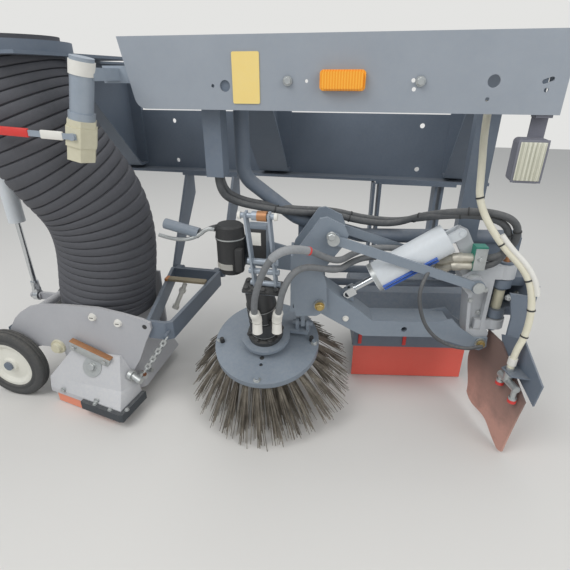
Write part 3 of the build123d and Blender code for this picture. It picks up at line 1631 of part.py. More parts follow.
# Hose clamp block on the swing head's mast, with its two couplings
clamp_w = cylinder_w - 7 - seat_gap
with BuildPart() as clamp_block:
    with BuildSketch(arm_side(clamp_w)):
        with Locations((100.0, -220.0)):
            Rectangle(34.0, 72.0)
    extrude(amount=-30)
    for z in (-222.0, -246.0):
        add(round_bar(arm_point(110.0, z, clamp_w - 15), arm_point(146.0, z, clamp_w - 15), 11.0))
save(clamp_block, "clamp_block")

# Hoses
water_route = (
    (604.0, -560.0, outrigger_top - outrigger_depth - seat_gap),
    (604.0, -560.0, 130.0),
    (612.0, -582.0, 30.0),
    (616.0, -600.0, -50.0),
    (684.0, -606.0, -150.0),
    (770.0, -630.0, -225.0),
    (797.0, -640.0, -310.0),
    (800.0, -646.0, -400.0),
    (spray_tee.X, spray_tee.Y, -462.0),
    (spray_tee.X, spray_tee.Y, spray_tee.Z + spray_riser + seat_gap),
)
loop_route = (
    (post_x, post_y, post_bottom - seat_gap),
    arm_point(849.0, -55.0, 22.0),
    arm_point(800.0, -95.0, 60.0),
    arm_point(715.0, -114.0, 73.0),
    arm_point(635.0, -126.0, 73.0),
    arm_point(521.0, -134.0, 97.0),
    arm_point(430.0, -158.0, 98.0),
    arm_point(325.0, -168.0, 98.0),
    arm_point(255.0, -125.0, 55.0),
    arm_point(200.0, -92.0, -20.0),
    arm_point(115.0, -76.0, -60.0),
    arm_point(30.0, -100.0, -62.0),
    arm_point(14.0, -160.0, -58.0),
    arm_point(40.0, -222.0, clamp_w - 15),
    arm_point(83.0 - seat_gap, -222.0, clamp_w - 15),
)
arm_routes = (
    (
        arm_point(146.0 + seat_gap, -222.0, clamp_w - 15),
        arm_point(166.0, -222.0, clamp_w - 15),
        arm_point(196.0, -250.0, 0.0),
        arm_point(232.0, -246.0, 44.0),
        arm_point(300.0, -226.0, 47.5),
        arm_point(400.0, -226.0, 47.5),
        arm_point(455.0, -232.0, 10.0),
        arm_point(500.0, -225.0, -70.0),
        arm_point(545.0, -205.0, -90.0),
        (190.0, -706.0, -176.0),
        (134.0, -770.0, -152.0),
        (88.0, -780.0, -190.0),
        (52.0, -780.0, -290.0),
        (44.0, -765.0, -360.0),
        motor_ports[0] + Vector(0, 0, 50 + seat_gap),
        motor_ports[0] + Vector(0, 0, 34 + seat_gap),
    ),
    (
        arm_point(146.0 + seat_gap, -246.0, clamp_w - 15),
        arm_point(166.0, -246.0, clamp_w - 15),
        arm_point(196.0, -275.0, 0.0),
        arm_point(232.0, -273.0, 44.0),
        arm_point(300.0, -256.0, 47.5),
        arm_point(400.0, -256.0, 47.5),
        arm_point(455.0, -258.0, 10.0),
        arm_point(500.0, -252.0, -70.0),
        arm_point(545.0, -240.0, -90.0),
        (182.0, -712.0, -222.0),
        (150.0, -757.0, -226.0),
        (124.0, -763.0, -285.0),
        (116.0, -758.0, -342.0),
        motor_ports[1] + Vector(0, 0, 50 + seat_gap),
        motor_ports[1] + Vector(0, 0, 34 + seat_gap),
    ),
)
save_cord(water_route, 9.5, "water_hose")
save_cord(loop_route, 10.0, "hose_loop")
for route, name in zip(arm_routes, ("motor_feed_hose", "motor_return_hose")):
    save_cord(route, 9.5, name)

# Lift chain: links turned a quarter, from the drag frame to the nozzle
chain_foot = Vector(-352.0, -742.0, -642.0)
chain_links = 9
link_wire = 5.0
with BuildPart() as lift_chain:
    chain_run = chain_foot - chain_top
    pitch = chain_run.length / chain_links
    across = chain_run.cross(Vector(0, 0, 1)).normalized()
    over = chain_run.cross(across).normalized()
    for index in range(chain_links):
        middle = chain_top + chain_run * ((index + 0.5) / chain_links)
        face = across if index % 2 else over
        with BuildSketch(Plane(origin=middle, x_dir=chain_run, z_dir=face)):
            SlotOverall(pitch + 2 * link_wire + 0.4, 3.4 * link_wire)
            SlotOverall(pitch - 0.2, 1.4 * link_wire, mode=Mode.SUBTRACT)
        extrude(amount=link_wire / 2, both=True)
save(lift_chain, "lift_chain")
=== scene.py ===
import random
from math import cos, pi, radians, sin

import bmesh
import bpy
from mathutils import Matrix, Vector


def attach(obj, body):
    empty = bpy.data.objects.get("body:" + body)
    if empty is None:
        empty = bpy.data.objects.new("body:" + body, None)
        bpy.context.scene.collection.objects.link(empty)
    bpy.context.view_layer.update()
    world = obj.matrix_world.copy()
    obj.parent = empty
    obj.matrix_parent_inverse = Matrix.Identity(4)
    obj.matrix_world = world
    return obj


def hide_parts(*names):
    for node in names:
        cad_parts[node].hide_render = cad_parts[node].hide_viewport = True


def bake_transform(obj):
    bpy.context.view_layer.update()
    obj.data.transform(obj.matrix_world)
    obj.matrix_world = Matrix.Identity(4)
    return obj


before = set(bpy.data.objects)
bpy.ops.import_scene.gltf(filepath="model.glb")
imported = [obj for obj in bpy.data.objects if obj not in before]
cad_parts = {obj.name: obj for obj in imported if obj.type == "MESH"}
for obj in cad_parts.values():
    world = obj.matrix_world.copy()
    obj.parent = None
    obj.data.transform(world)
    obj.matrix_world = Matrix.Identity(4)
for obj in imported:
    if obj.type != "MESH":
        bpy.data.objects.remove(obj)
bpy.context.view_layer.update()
chance = random.Random(7)

# Side sweeping unit of a street sweeper truck, in metres.
# The frame is the CAD model's own: +X front, +Y in towards the truck, +Z up, the road at road_z.

road_z = -0.8

# The arm's plane runs back from the kingpin
kingpin = Vector((0.75, -0.497, 0.0))
arm_yaw = radians(9.8)
arm_out = Vector((sin(arm_yaw), -cos(arm_yaw), 0.0))
arm_along = Vector((-cos(arm_yaw), -sin(arm_yaw), 0.0))

# The broom's axis leans out at its top
broom_centre = Vector((0.045, -0.632, -0.533))
broom_lean = radians(18)
broom_up = Vector((0.0, -sin(broom_lean), cos(broom_lean)))
broom_in = Vector((0.0, cos(broom_lean), sin(broom_lean)))

# The roller and its hood lie along the truck, turned a little
roller_turn = radians(9.6)

up = Vector((0.0, 0.0, 1.0))
front = Vector((1.0, 0.0, 0.0))
outward = Vector((0.0, -1.0, 0.0))


def vectors(*places):
    """Vectors of places."""
    return [Vector(place) for place in places]


def arm_point(t, z, w=0.0):
    """Point at t along the arm from the kingpin, w in from the arm's plane."""
    return kingpin + arm_along * t - arm_out * w + up * z


def arm_points(*places):
    """Points by their t, z and w along the arm."""
    return [arm_point(*place) for place in places]


def broom_point(x, y, height):
    """Point in the broom's own frame, its height along the broom's axis."""
    return broom_centre + front * x + broom_in * y + broom_up * height


# Camera, at the place and with the field of view that the photograph was taken from
camera = bpy.data.objects.new("camera", bpy.data.cameras.new("camera"))
camera.location = (0.35, -1.78, 0.25)
camera.rotation_euler = (radians(63.9), 0.0, radians(12.0))
camera.data.sensor_width = 36.0
camera.data.lens = 27.03
bpy.context.scene.collection.objects.link(camera)
bpy.context.scene.camera = camera


# Finishes

def colour(code):
    """Linear colour of an sRGB hex code."""
    parts = [int(code[i:i + 2], 16) / 255 for i in (1, 3, 5)]
    linear = [c / 12.92 if c <= 0.04045 else ((c + 0.055) / 1.055) ** 2.4 for c in parts]
    return (*linear, 1.0)


def add_node(tree, kind, settings=None, links=None):
    """Adds a node, gives it its settings and links its inputs."""
    node = tree.nodes.new(kind)
    for name, value in (settings or {}).items():
        if isinstance(name, str) and hasattr(node, name):
            setattr(node, name, value)
        else:
            node.inputs[name].default_value = value
    for name, source in (links or {}).items():
        tree.links.new(source, node.inputs[name])
    return node


def new_finish(name, **settings):
    """A material with its node tree, its shader and its object coordinates."""
    material = bpy.data.materials.new(name)
    material.use_nodes = True
    tree = material.node_tree
    shader = tree.nodes["Principled BSDF"]
    for key, value in settings.items():
        shader.inputs[key.replace("_", " ")].default_value = value
    place = add_node(tree, "ShaderNodeTexCoord").outputs["Object"]
    return material, tree, shader, place


def weathered(name, base, shade, dust, settled, chips=None, chip_share=0.0,
              patch=0.09, grain=0.0012, grain_depth=0.00012, roughness=0.5, metallic=0.0):
    """A coat that varies in patches, with dust on what faces up and small chips.

    patch and grain are the sizes of the patches and of the surface's grain. The grain is
    drawn coarser than the real one, about a millimetre, so that it shows.
    """
    dust_speck = 0.011
    paint_chip = 0.016
    material, tree, shader, place = new_finish(name, Metallic=metallic)
    clouds = add_node(tree, "ShaderNodeTexNoise",
                      {"Scale": 1 / patch, "Detail": 6.0, "Roughness": 0.62}, {"Vector": place})
    specks = add_node(tree, "ShaderNodeTexNoise",
                      {"Scale": 1 / dust_speck, "Detail": 5.0, "Roughness": 0.7}, {"Vector": place})
    body = add_node(tree, "ShaderNodeMix",
                    {"data_type": "RGBA", 6: colour(base), 7: colour(shade)},
                    {0: clouds.outputs[0]})
    normal = add_node(tree, "ShaderNodeNewGeometry").outputs["Normal"]
    height = add_node(tree, "ShaderNodeSeparateXYZ", {}, {0: normal}).outputs["Z"]
    facing_up = add_node(tree, "ShaderNodeMapRange",
                         {"From Min": -0.1, "From Max": 1.0, "To Min": 0.12, "To Max": settled},
                         {"Value": height})
    patches = add_node(tree, "ShaderNodeMapRange",
                       {"From Min": 0.36, "From Max": 0.66, "To Min": 0.35, "To Max": 1.0},
                       {"Value": specks.outputs[0]})
    cover = add_node(tree, "ShaderNodeMath", {"operation": "MULTIPLY"},
                     {0: facing_up.outputs[0], 1: patches.outputs[0]})
    dusty = add_node(tree, "ShaderNodeMix", {"data_type": "RGBA", 7: colour(dust)},
                     {0: cover.outputs[0], 6: body.outputs[2]})
    top = dusty.outputs[2]
    if chips:
        marks = add_node(tree, "ShaderNodeTexNoise",
                         {"Scale": 1 / paint_chip, "Detail": 9.0, "Roughness": 0.75,
                          "Distortion": 0.4}, {"Vector": place})
        edge = add_node(tree, "ShaderNodeMapRange",
                        {"From Min": 0.72 - chip_share, "From Max": 0.75 - chip_share},
                        {"Value": marks.outputs[0]})
        top = add_node(tree, "ShaderNodeMix", {"data_type": "RGBA", 7: colour(chips)},
                       {0: edge.outputs[0], 6: top}).outputs[2]
    tree.links.new(top, shader.inputs["Base Color"])
    gloss = add_node(tree, "ShaderNodeMapRange",
                     {"To Min": roughness - 0.08, "To Max": min(1.0, roughness + 0.2)},
                     {"Value": specks.outputs[0]})
    tree.links.new(gloss.outputs[0], shader.inputs["Roughness"])
    fine = add_node(tree, "ShaderNodeTexNoise",
                    {"Scale": 1 / grain, "Detail": 3.0, "Roughness": 0.6}, {"Vector": place})
    bump = add_node(tree, "ShaderNodeBump", {"Strength": 0.6, "Distance": grain_depth},
                    {"Height": fine.outputs[0]})
    tree.links.new(bump.outputs[0], shader.inputs["Normal"])
    return material


# Sprayed enamel on the long rail: pale blue grey, chalky, with brushed dust
rail_enamel = weathered("rail_enamel", "#9ba2ab", "#8c949e", "#a9a9a6", 0.45,
                        chips="#6f757c", chip_share=0.02, roughness=0.42)
# The same enamel, painted darker as shade, on the frame behind the arm
frame_enamel_in_shade = weathered("frame_enamel_in_shade", "#6e7a89", "#5e6a79", "#979693", 0.50,
                         chips="#4c5157", chip_share=0.03, roughness=0.45)
# Fresh enamel on the arm and carrier, cleaner and glossier
arm_enamel = weathered("arm_enamel", "#85909b", "#76818e", "#a5a7a8", 0.35,
                       chips="#5c6168", chip_share=0.015, roughness=0.38)
# Folded sheet of the nozzle, bleached by water and dust
nozzle_enamel = weathered("nozzle_enamel", "#b4b5b9", "#a6a7ac", "#c9c5c0", 0.60,
                          chips="#8c8f95", chip_share=0.02, roughness=0.5)
# The nozzle box under its shelf, nearly white with dried spray
box_enamel = weathered("box_enamel", "#c4c5c8", "#b6b7bb", "#d6d3ce", 0.65,
                       chips="#9a9da2", chip_share=0.02, roughness=0.5)
# Bright drawn tube and flat bar of the tilt ladder, blued like the arm
ladder_steel = weathered("ladder_steel", "#a7b1bc", "#939eaa", "#bcbdbc", 0.35, patch=0.03,
                         chips="#7a818a", chip_share=0.03, roughness=0.34, metallic=0.35)
# Sand cast iron of the swing head, grainy and pale
sand_casting = weathered("sand_casting", "#c2c4c7", "#abafb4", "#cfcdc8", 0.5,
                         chips="#7e8288", chip_share=0.03, grain=0.0022, grain_depth=0.0007,
                         roughness=0.55)
# Zinc plate on bolts, pins, spray bar and chain, blotched white with oxide
zinc_plate = weathered("zinc_plate", "#c9cccb", "#a9aeb0", "#d8d6ce", 0.5, patch=0.01,
                       roughness=0.38, metallic=0.75)
# Yellow passivated brass plugs and nuts
passivated_brass = weathered("passivated_brass", "#c9b06a", "#a0854a", "#cfc7b0", 0.4, patch=0.008,
                             roughness=0.38, metallic=0.8)
# Rust on the chain's foot, rough and brown
rust = weathered("rust", "#8a5433", "#6b3d26", "#a58c78", 0.3, patch=0.006, grain=0.0008,
                 grain_depth=0.0004, roughness=0.85)
# Hard chrome on the rods, ground to a mirror
hard_chrome = weathered("hard_chrome", "#d3d6d8", "#c2c6c9", "#b7b4ad", 0.12, roughness=0.16,
                        metallic=1.0)
# White enamel on the lift cylinders
cylinder_enamel = weathered("cylinder_enamel", "#dfe3e6", "#ccd2d7", "#c4c2bc", 0.35,
                            chips="#9aa0a6", chip_share=0.02, roughness=0.32)
# White enamel on the wheel's rim, dusty
rim_enamel = weathered("rim_enamel", "#f0efe6", "#dedccf", "#b7b1a5", 0.35,
                       chips="#8c877c", chip_share=0.04, roughness=0.45)
# Black enamel on the motor's housings, oily under dust
motor_enamel = weathered("motor_enamel", "#34373a", "#26282b", "#77746f", 0.50,
                         chips="#54565a", chip_share=0.03, roughness=0.4)
# Injection moulded housings, faded black
moulded_black = weathered("moulded_black", "#2c2d2f", "#232426", "#65635f", 0.4, roughness=0.5)
# The work lamp's die cast body, faded to grey
faded_housing = weathered("faded_housing", "#797a84", "#6a6b75", "#96949a", 0.5, roughness=0.6)
# Drain valve's forged body, cream with oxide
forged_cream = weathered("forged_cream", "#d9d4bb", "#c4bea3", "#e2dece", 0.4, patch=0.02,
                         roughness=0.5, metallic=0.15)
# Moulded rubber of the solid tyres, grey with road dust
tyre_rubber = weathered("tyre_rubber", "#46484a", "#3a3c3e", "#8b857b", 0.45, grain=0.002,
                        grain_depth=0.0003, roughness=0.78)
# Moulded rubber of the nozzle's bumper, blue black and scuffed
bumper_rubber = weathered("bumper_rubber", "#3d444b", "#2f353b", "#7d7b78", 0.5, roughness=0.62)
# Outer cover of the suction hose, dull with dust in its grooves
duct_rubber = weathered("duct_rubber", "#54555a", "#46474c", "#77767a", 0.5, grain=0.0018,
                        grain_depth=0.0003, roughness=0.66)
# Cover of the hydraulic hoses, scuffed light where they rub
hose_cover = weathered("hose_cover", "#55585b", "#3f4144", "#8d8b87", 0.6, patch=0.02,
                       roughness=0.6)
# Zinc couplings, beige where the oxide has washed off
coupling_zinc = weathered("coupling_zinc", "#cfcabb", "#b3ada0", "#dcd8cd", 0.4, patch=0.012,
                          roughness=0.4, metallic=0.6)
# Cover of the motor's hoses, rubbed pale along their whole length
worn_cover = weathered("worn_cover", "#7d8083", "#5b5e61", "#9c9a96", 0.6, patch=0.012,
                       grain=0.0012, grain_depth=0.0004, roughness=0.68)
# Woven textile sleeve on the feed hose, pale grey with a coarse weave
woven_sleeve = weathered("woven_sleeve", "#a3a6a9", "#83868a", "#a9a7a2", 0.5, patch=0.006,
                         grain=0.0011, grain_depth=0.0006, roughness=0.75)
# Clear water hose, yellowed cream
water_tube = weathered("water_tube", "#e9e5d3", "#dcd6bd", "#cfc8b4", 0.35, patch=0.03,
                       roughness=0.35)
# Sheet rubber of the nozzle's lip, salmon
salmon_rubber = weathered("salmon_rubber", "#f19a7c", "#e98a6c", "#d9a994", 0.35, roughness=0.6)
# Sheet rubber of the roller's skirt, bright red
red_rubber = weathered("red_rubber", "#f0695a", "#e85c4c", "#dc8c80", 0.25, roughness=0.55)
# Moulded red plastic of the valve's grip and the jets, dulled by dust
red_plastic = weathered("red_plastic", "#e03a34", "#cf302c", "#c9746e", 0.25, roughness=0.4)
# Moulded white plastic of caps, tape and blank labels, a little yellow
white_plastic = weathered("white_plastic", "#eceae4", "#dedbd2", "#c9c4b8", 0.3, roughness=0.45)
# Moulded green polypropylene of the hose clamp
green_plastic = weathered("green_plastic", "#2f8f7b", "#277c6a", "#7fa79c", 0.35, roughness=0.45)
# Extruded nylon tube along the lift cylinder, clear blue
blue_tube = weathered("blue_tube", "#2f62c0", "#2551a6", "#7f93bd", 0.2, roughness=0.35)
# Webbing round the bar between the nozzle's arms, beige and dull
beige_strap = weathered("beige_strap", "#a3957a", "#8b7e65", "#b9ae99", 0.4, roughness=0.7)
# Painted end of that bar, faded orange
orange_tip = weathered("orange_tip", "#d98a4e", "#c47840", "#c9a184", 0.3, roughness=0.55)
# Turned bronze bushes, warm brown with a dull shine
copper_bush = weathered("copper_bush", "#c28a5e", "#a8734b", "#c2a184", 0.3, roughness=0.4,
                        metallic=0.5)
# Enamelled sign plate, pale yellow and left blank
sign_yellow = weathered("sign_yellow", "#f3d98b", "#efd07a", "#e3d3a5", 0.15, roughness=0.4)
# Edge of the disc's two plates, scoured pale by the road
dusty_rim = weathered("dusty_rim", "#8e8c88", "#787775", "#a39f98", 0.5, patch=0.02,
                      roughness=0.75)
# Extruded nylon filaments of the roller, near black
filament = weathered("filament", "#33363b", "#26282c", "#6a6864", 0.4, roughness=0.6)


def spring_wire():
    """Drawn spring steel, brown grey with rust flecks that change along each wire."""
    fleck = 0.05
    material, tree, shader, place = new_finish("spring_wire", Metallic=0.35, Roughness=0.55)
    flecks = add_node(tree, "ShaderNodeTexNoise",
                      {"Scale": 1 / fleck, "Detail": 6.0, "Roughness": 0.7}, {"Vector": place})
    tone = add_node(tree, "ShaderNodeValToRGB", {}, {"Fac": flecks.outputs[0]})
    tone.color_ramp.elements[0].position = 0.34
    tone.color_ramp.elements[0].color = colour("#625b52")
    tone.color_ramp.elements[1].position = 0.68
    tone.color_ramp.elements[1].color = colour("#9d9588")
    tree.links.new(tone.outputs[0], shader.inputs["Base Color"])
    return material


def flap_rubber():
    """Reinforced sheet rubber, dark brown above and scrubbed pink at its road edge."""
    brown_down_to = -0.58
    pink_from = -0.76
    smear_width = 0.06
    fabric_grain = 0.0015
    material, tree, shader, place = new_finish("flap_rubber", Roughness=0.72)
    height = add_node(tree, "ShaderNodeSeparateXYZ", {}, {0: place}).outputs["Z"]
    worn = add_node(tree, "ShaderNodeMapRange",
                    {"From Min": brown_down_to, "From Max": pink_from}, {"Value": height})
    smear = add_node(tree, "ShaderNodeTexNoise",
                     {"Scale": 1 / smear_width, "Detail": 6.0, "Roughness": 0.65},
                     {"Vector": place})
    blend = add_node(tree, "ShaderNodeMath", {"operation": "MULTIPLY"},
                     {0: worn.outputs[0], 1: smear.outputs[0]})
    spread = add_node(tree, "ShaderNodeMapRange", {"From Min": 0.0, "From Max": 0.5},
                      {"Value": blend.outputs[0]})
    tone = add_node(tree, "ShaderNodeMix",
                    {"data_type": "RGBA", 6: colour("#7d6861"), 7: colour("#c99a8c")},
                    {0: spread.outputs[0]})
    tree.links.new(tone.outputs[2], shader.inputs["Base Color"])
    fine = add_node(tree, "ShaderNodeTexNoise", {"Scale": 1 / fabric_grain, "Detail": 2.0},
                    {"Vector": place})
    bump = add_node(tree, "ShaderNodeBump", {"Strength": 0.5, "Distance": 0.0002},
                    {"Height": fine.outputs[0]})
    tree.links.new(bump.outputs[0], shader.inputs["Normal"])
    return material


def lamp_lens(name, tint_and_glint, prism):
    """Moulded polycarbonate, glossy, with upright prisms of a width, and a second, lighter colour
    along the prisms' crests that is painted highlight.
    """
    material, tree, shader, place = new_finish(name, Roughness=0.12, IOR=1.58)
    wave = add_node(tree, "ShaderNodeTexWave", {"Scale": 1 / prism, "bands_direction": "X"},
                    {"Vector": place})
    tone = add_node(tree, "ShaderNodeMix",
                    {"data_type": "RGBA", 6: colour(tint_and_glint[0]), 7: colour(tint_and_glint[1])},
                    {0: wave.outputs["Fac"]})
    tree.links.new(tone.outputs[2], shader.inputs["Base Color"])
    bump = add_node(tree, "ShaderNodeBump", {"Strength": 0.6, "Distance": 0.0006},
                    {"Height": wave.outputs["Fac"]})
    tree.links.new(bump.outputs[0], shader.inputs["Normal"])
    return material


wire_finish = spring_wire()
flap_finish = flap_rubber()
# Each lens's second, lighter colour is painted highlight on its prisms
amber_lens = lamp_lens("amber_lens", ("#f59a1c", "#ffb640"), 0.02)
clear_lens = lamp_lens("clear_lens", ("#b9b8a6", "#dedccb"), 0.03)

node_finishes = (
    # finish, CAD nodes that take it
    (rail_enamel, ("side_rail",)),
    (frame_enamel_in_shade, ("mounting_plate", "rear_outrigger", "front_outrigger", "hose_outrigger",
                    "hose_post", "hanger_frame", "kingpin_bracket", "drag_frame", "nozzle_hinge",
                    "outer_axle", "inner_axle", "hose_collar", "cylinder_bracket", "roller_hood",
                    "roller_hinge", "flap_bracket")),
    (arm_enamel, ("main_arm", "upper_links", "carrier_plates", "motor_plate", "broom_disc")),
    (nozzle_enamel, ("nozzle_outer_plate", "nozzle_inner_plate", "cross_tube", "nozzle_shell")),
    (sand_casting, ("swing_head",)),
    (zinc_plate, ("head_pins", "carrier_pins", "spray_bar", "lift_chain")),
    (ladder_steel, ("tilt_ladder", "drain_valve")),
    (box_enamel, ("nozzle_box",)),
    (green_plastic, ("clamp_block",)),
    (cylinder_enamel, ("lift_barrel", "nozzle_barrel")),
    (hard_chrome, ("lift_rod", "nozzle_rod")),
    (motor_enamel, ("hydraulic_motor",)),
    (moulded_black, ("tilt_actuator",)),
    (faded_housing, ("work_lamp",)),
    (wire_finish, ("broom_bristles",)),
    (salmon_rubber, ("nozzle_lip",)),
    (red_rubber, ("roller_skirt",)),
    (bumper_rubber, ("nozzle_bumper",)),
    (flap_finish, ("splash_flap",)),
    (tyre_rubber, ("outer_tyre", "inner_tyre")),
    (rim_enamel, ("outer_rim", "inner_rim")),
    (duct_rubber, ("suction_hose",)),
    (hose_cover, ("hose_loop", "motor_feed_hose", "motor_return_hose")),
    (water_tube, ("water_hose",)),
    (filament, ("roller_broom",)),
    (amber_lens, ("marker_lamp",)),
    (sign_yellow, ("sign_plate",)),
)
for finish, nodes in node_finishes:
    for node in nodes:
        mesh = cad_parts[node].data
        mesh.materials.clear()
        mesh.materials.append(finish)


# Shapes

def standing(place, axis):
    """Matrix that stands a shape made along Z at a place, along an axis."""
    return Matrix.Translation(place) @ Vector(axis).to_track_quat("Z", "Y").to_matrix().to_4x4()


def add_round(bm, place, axis, radius, length, tip=None, sides=32):
    """A round bar or cone from a place along an axis; tip is its far radius."""
    middle = Vector(place) + Vector(axis).normalized() * (length / 2)
    bmesh.ops.create_cone(bm, cap_ends=True, segments=sides, radius1=radius,
                          radius2=radius if tip is None else tip, depth=length,
                          matrix=standing(middle, axis))


def add_block(bm, place, size, turn):
    """A box of a size, turned and centred on a place."""
    stretch = Matrix.Diagonal((*size, 1.0))
    bmesh.ops.create_cube(bm, size=1.0, matrix=Matrix.Translation(place) @ turn @ stretch)


def add_bolt(bm, place, axis, size):
    """A hex head with a chamfered top, on its washer; size is the thread's."""
    axis = Vector(axis).normalized()
    place = Vector(place)
    washer = size * 0.2
    head = size * 0.62
    flats = head * 0.8
    add_round(bm, place, axis, size * 1.15, washer, size * 1.08, 24)
    add_round(bm, place + axis * washer, axis, size * 0.9, flats, sides=6)
    add_round(bm, place + axis * (washer + flats), axis, size * 0.9, head * 0.2, size * 0.74, 6)


def soften(bm, width):
    """Rounds every sharp edge."""
    sharp = [edge for edge in bm.edges if edge.calc_face_angle(0.0) > radians(30)]
    bmesh.ops.bevel(bm, geom=sharp, offset=width, segments=2, profile=0.5, affect="EDGES",
                    material=-1, clamp_overlap=True)


def make_piece(name, bm, finish, body):
    """Writes a bmesh as a piece that rides on its body."""
    bmesh.ops.recalc_face_normals(bm, faces=bm.faces)
    mesh = bpy.data.meshes.new(name)
    bm.to_mesh(mesh)
    bm.free()
    mesh.materials.append(finish)
    mesh.shade_smooth()
    mesh.set_sharp_from_angle(angle=radians(32))
    piece = bpy.data.objects.new(name, mesh)
    bpy.context.scene.collection.objects.link(piece)
    if body:
        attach(piece, body)
    return piece


def frames_along(path):
    """Frames that follow a path without twisting, Z along it."""
    frames = []
    turn = (path[1] - path[0]).to_track_quat("Z", "Y")
    for here, place in enumerate(path):
        run = path[min(here + 1, len(path) - 1)] - path[max(here - 1, 0)]
        turn = (turn @ up).rotation_difference(run.normalized()) @ turn
        frames.append(Matrix.Translation(place) @ turn.to_matrix().to_4x4())
    return frames


def add_tube(bm, path, radii, sides=16, capped=True):
    """A tube along a path; radii gives its radius at each point."""
    rings = [place @ Matrix.Scale(radius, 4) for place, radius in zip(frames_along(path), radii)]
    made = bmesh.ops.create_circle(bm, cap_ends=capped, segments=sides, radius=1.0, matrix=rings[0])
    edges = list({edge for vert in made["verts"] for edge in vert.link_edges})
    for before, after in zip(rings, rings[1:]):
        grown = bmesh.ops.extrude_edge_only(bm, edges=edges)["geom"]
        verts = [item for item in grown if isinstance(item, bmesh.types.BMVert)]
        edges = [item for item in grown if isinstance(item, bmesh.types.BMEdge)]
        bmesh.ops.transform(bm, matrix=after @ before.inverted(), verts=verts)
    if capped:
        bmesh.ops.contextual_create(bm, geom=edges)


def smooth_route(name, route, kind="NURBS", steps=12):
    """Points along a route's smooth curve, and the curve object itself."""
    curve = bpy.data.curves.new(name, "CURVE")
    curve.dimensions = "3D"
    curve.resolution_u = steps
    spline = curve.splines.new(kind)
    if kind == "NURBS":
        spline.points.add(len(route) - 1)
        for point, place in zip(spline.points, route):
            point.co = (*place, 1.0)
        spline.order_u = 3
        spline.use_endpoint_u = True
    else:
        spline.bezier_points.add(len(route) - 1)
        for point, place in zip(spline.bezier_points, route):
            point.co = place
            point.handle_left_type = "AUTO"
            point.handle_right_type = "AUTO"
    line = bpy.data.objects.new(name, curve)
    bpy.context.scene.collection.objects.link(line)
    bpy.context.view_layer.update()
    depsgraph = bpy.context.evaluated_depsgraph_get()
    read = bpy.data.meshes.new_from_object(line.evaluated_get(depsgraph))
    points = [vert.co.copy() for vert in read.vertices]
    bpy.data.meshes.remove(read)
    return points, line


def smooth_path(name, route, kind="NURBS", steps=12):
    """Points along a route's smooth curve, without the curve."""
    points, line = smooth_route(name, route, kind, steps)
    bpy.data.objects.remove(line)
    return points


def length_of(path):
    """Length along a path."""
    return sum((after - before).length for before, after in zip(path, path[1:]))


def make_tube(name, path, radius, finish, body, sides=16):
    """A tube along a path as a piece; radius is one value, or a list of one at each point."""
    bm = bmesh.new()
    add_tube(bm, path, radius if isinstance(radius, list) else [radius] * len(path), sides)
    return make_piece(name, bm, finish, body)


def make_hose(name, path, radius, finish):
    """A hose along a path, as a loose piece with its transform baked in."""
    hose = make_tube(name, path, radius, finish, None)
    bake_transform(hose)
    return hose


# Suction hose: ribbed cover over its whole length, open at both ends

def suction_duct():
    """The duct from the nozzle up to the frame, as one tube whose radius follows its ribs."""
    rib_pitch = 0.0275
    crest = 0.160
    wall = 0.014
    bore_seen = 0.09
    route = vectors(
        (-0.562, -0.5556, -0.505), (-0.562, -0.5556, -0.466), (-0.528, -0.572, -0.160),
        (-0.610, -0.645, 0.080), (-0.672, -0.667, 0.290), (-0.673, -0.668, 0.342))
    path = smooth_path("duct_line", route, "BEZIER", 24)
    profile = (
        # share of the pitch, depth under the crest
        (0.00, 0.0075), (0.10, 0.0015), (0.28, 0.0), (0.72, 0.0), (0.90, 0.0015),
    )
    total = length_of(path)
    stations = []
    for rib in range(int(total / rib_pitch)):
        stations += [((rib + share) * rib_pitch, crest - depth) for share, depth in profile]
    stations.append((total, crest - 0.001))
    places, radii, walked, index = [], [], 0.0, 0
    for distance, radius in stations:
        while index < len(path) - 2 and walked + (path[index + 1] - path[index]).length < distance:
            walked += (path[index + 1] - path[index]).length
            index += 1
        run = path[index + 1] - path[index]
        places.append(path[index] + run.normalized() * min(distance - walked, run.length))
        radii.append(radius)
    bm = bmesh.new()
    add_tube(bm, places, radii, 72, capped=False)
    # Each open end turns in over the wall and then goes down the bore as far as it shows
    open_ends = [edge for edge in bm.edges if edge.is_boundary]
    for inset, drop in ((wall, 0.0), (0.0, bore_seen)):
        grown = bmesh.ops.extrude_edge_only(bm, edges=open_ends)["geom"]
        open_ends = [item for item in grown if isinstance(item, bmesh.types.BMEdge)]
        for end, inward in ((places[0], 1), (places[-1], -1)):
            run = (places[1] - places[0]) if inward == 1 else (places[-1] - places[-2])
            ring = [item for item in grown if isinstance(item, bmesh.types.BMVert)
                    and (item.co - end).length < crest + bore_seen]
            for vert in ring:
                vert.co -= (vert.co - end).normalized() * inset
                vert.co += run.normalized() * (drop * inward)
    duct = make_piece("suction_duct", bm, duct_rubber, None)
    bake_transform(duct)
    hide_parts("suction_hose")


suction_duct()


# Side broom: spring wires in tufts, in two rows

tuft_foot = -0.026


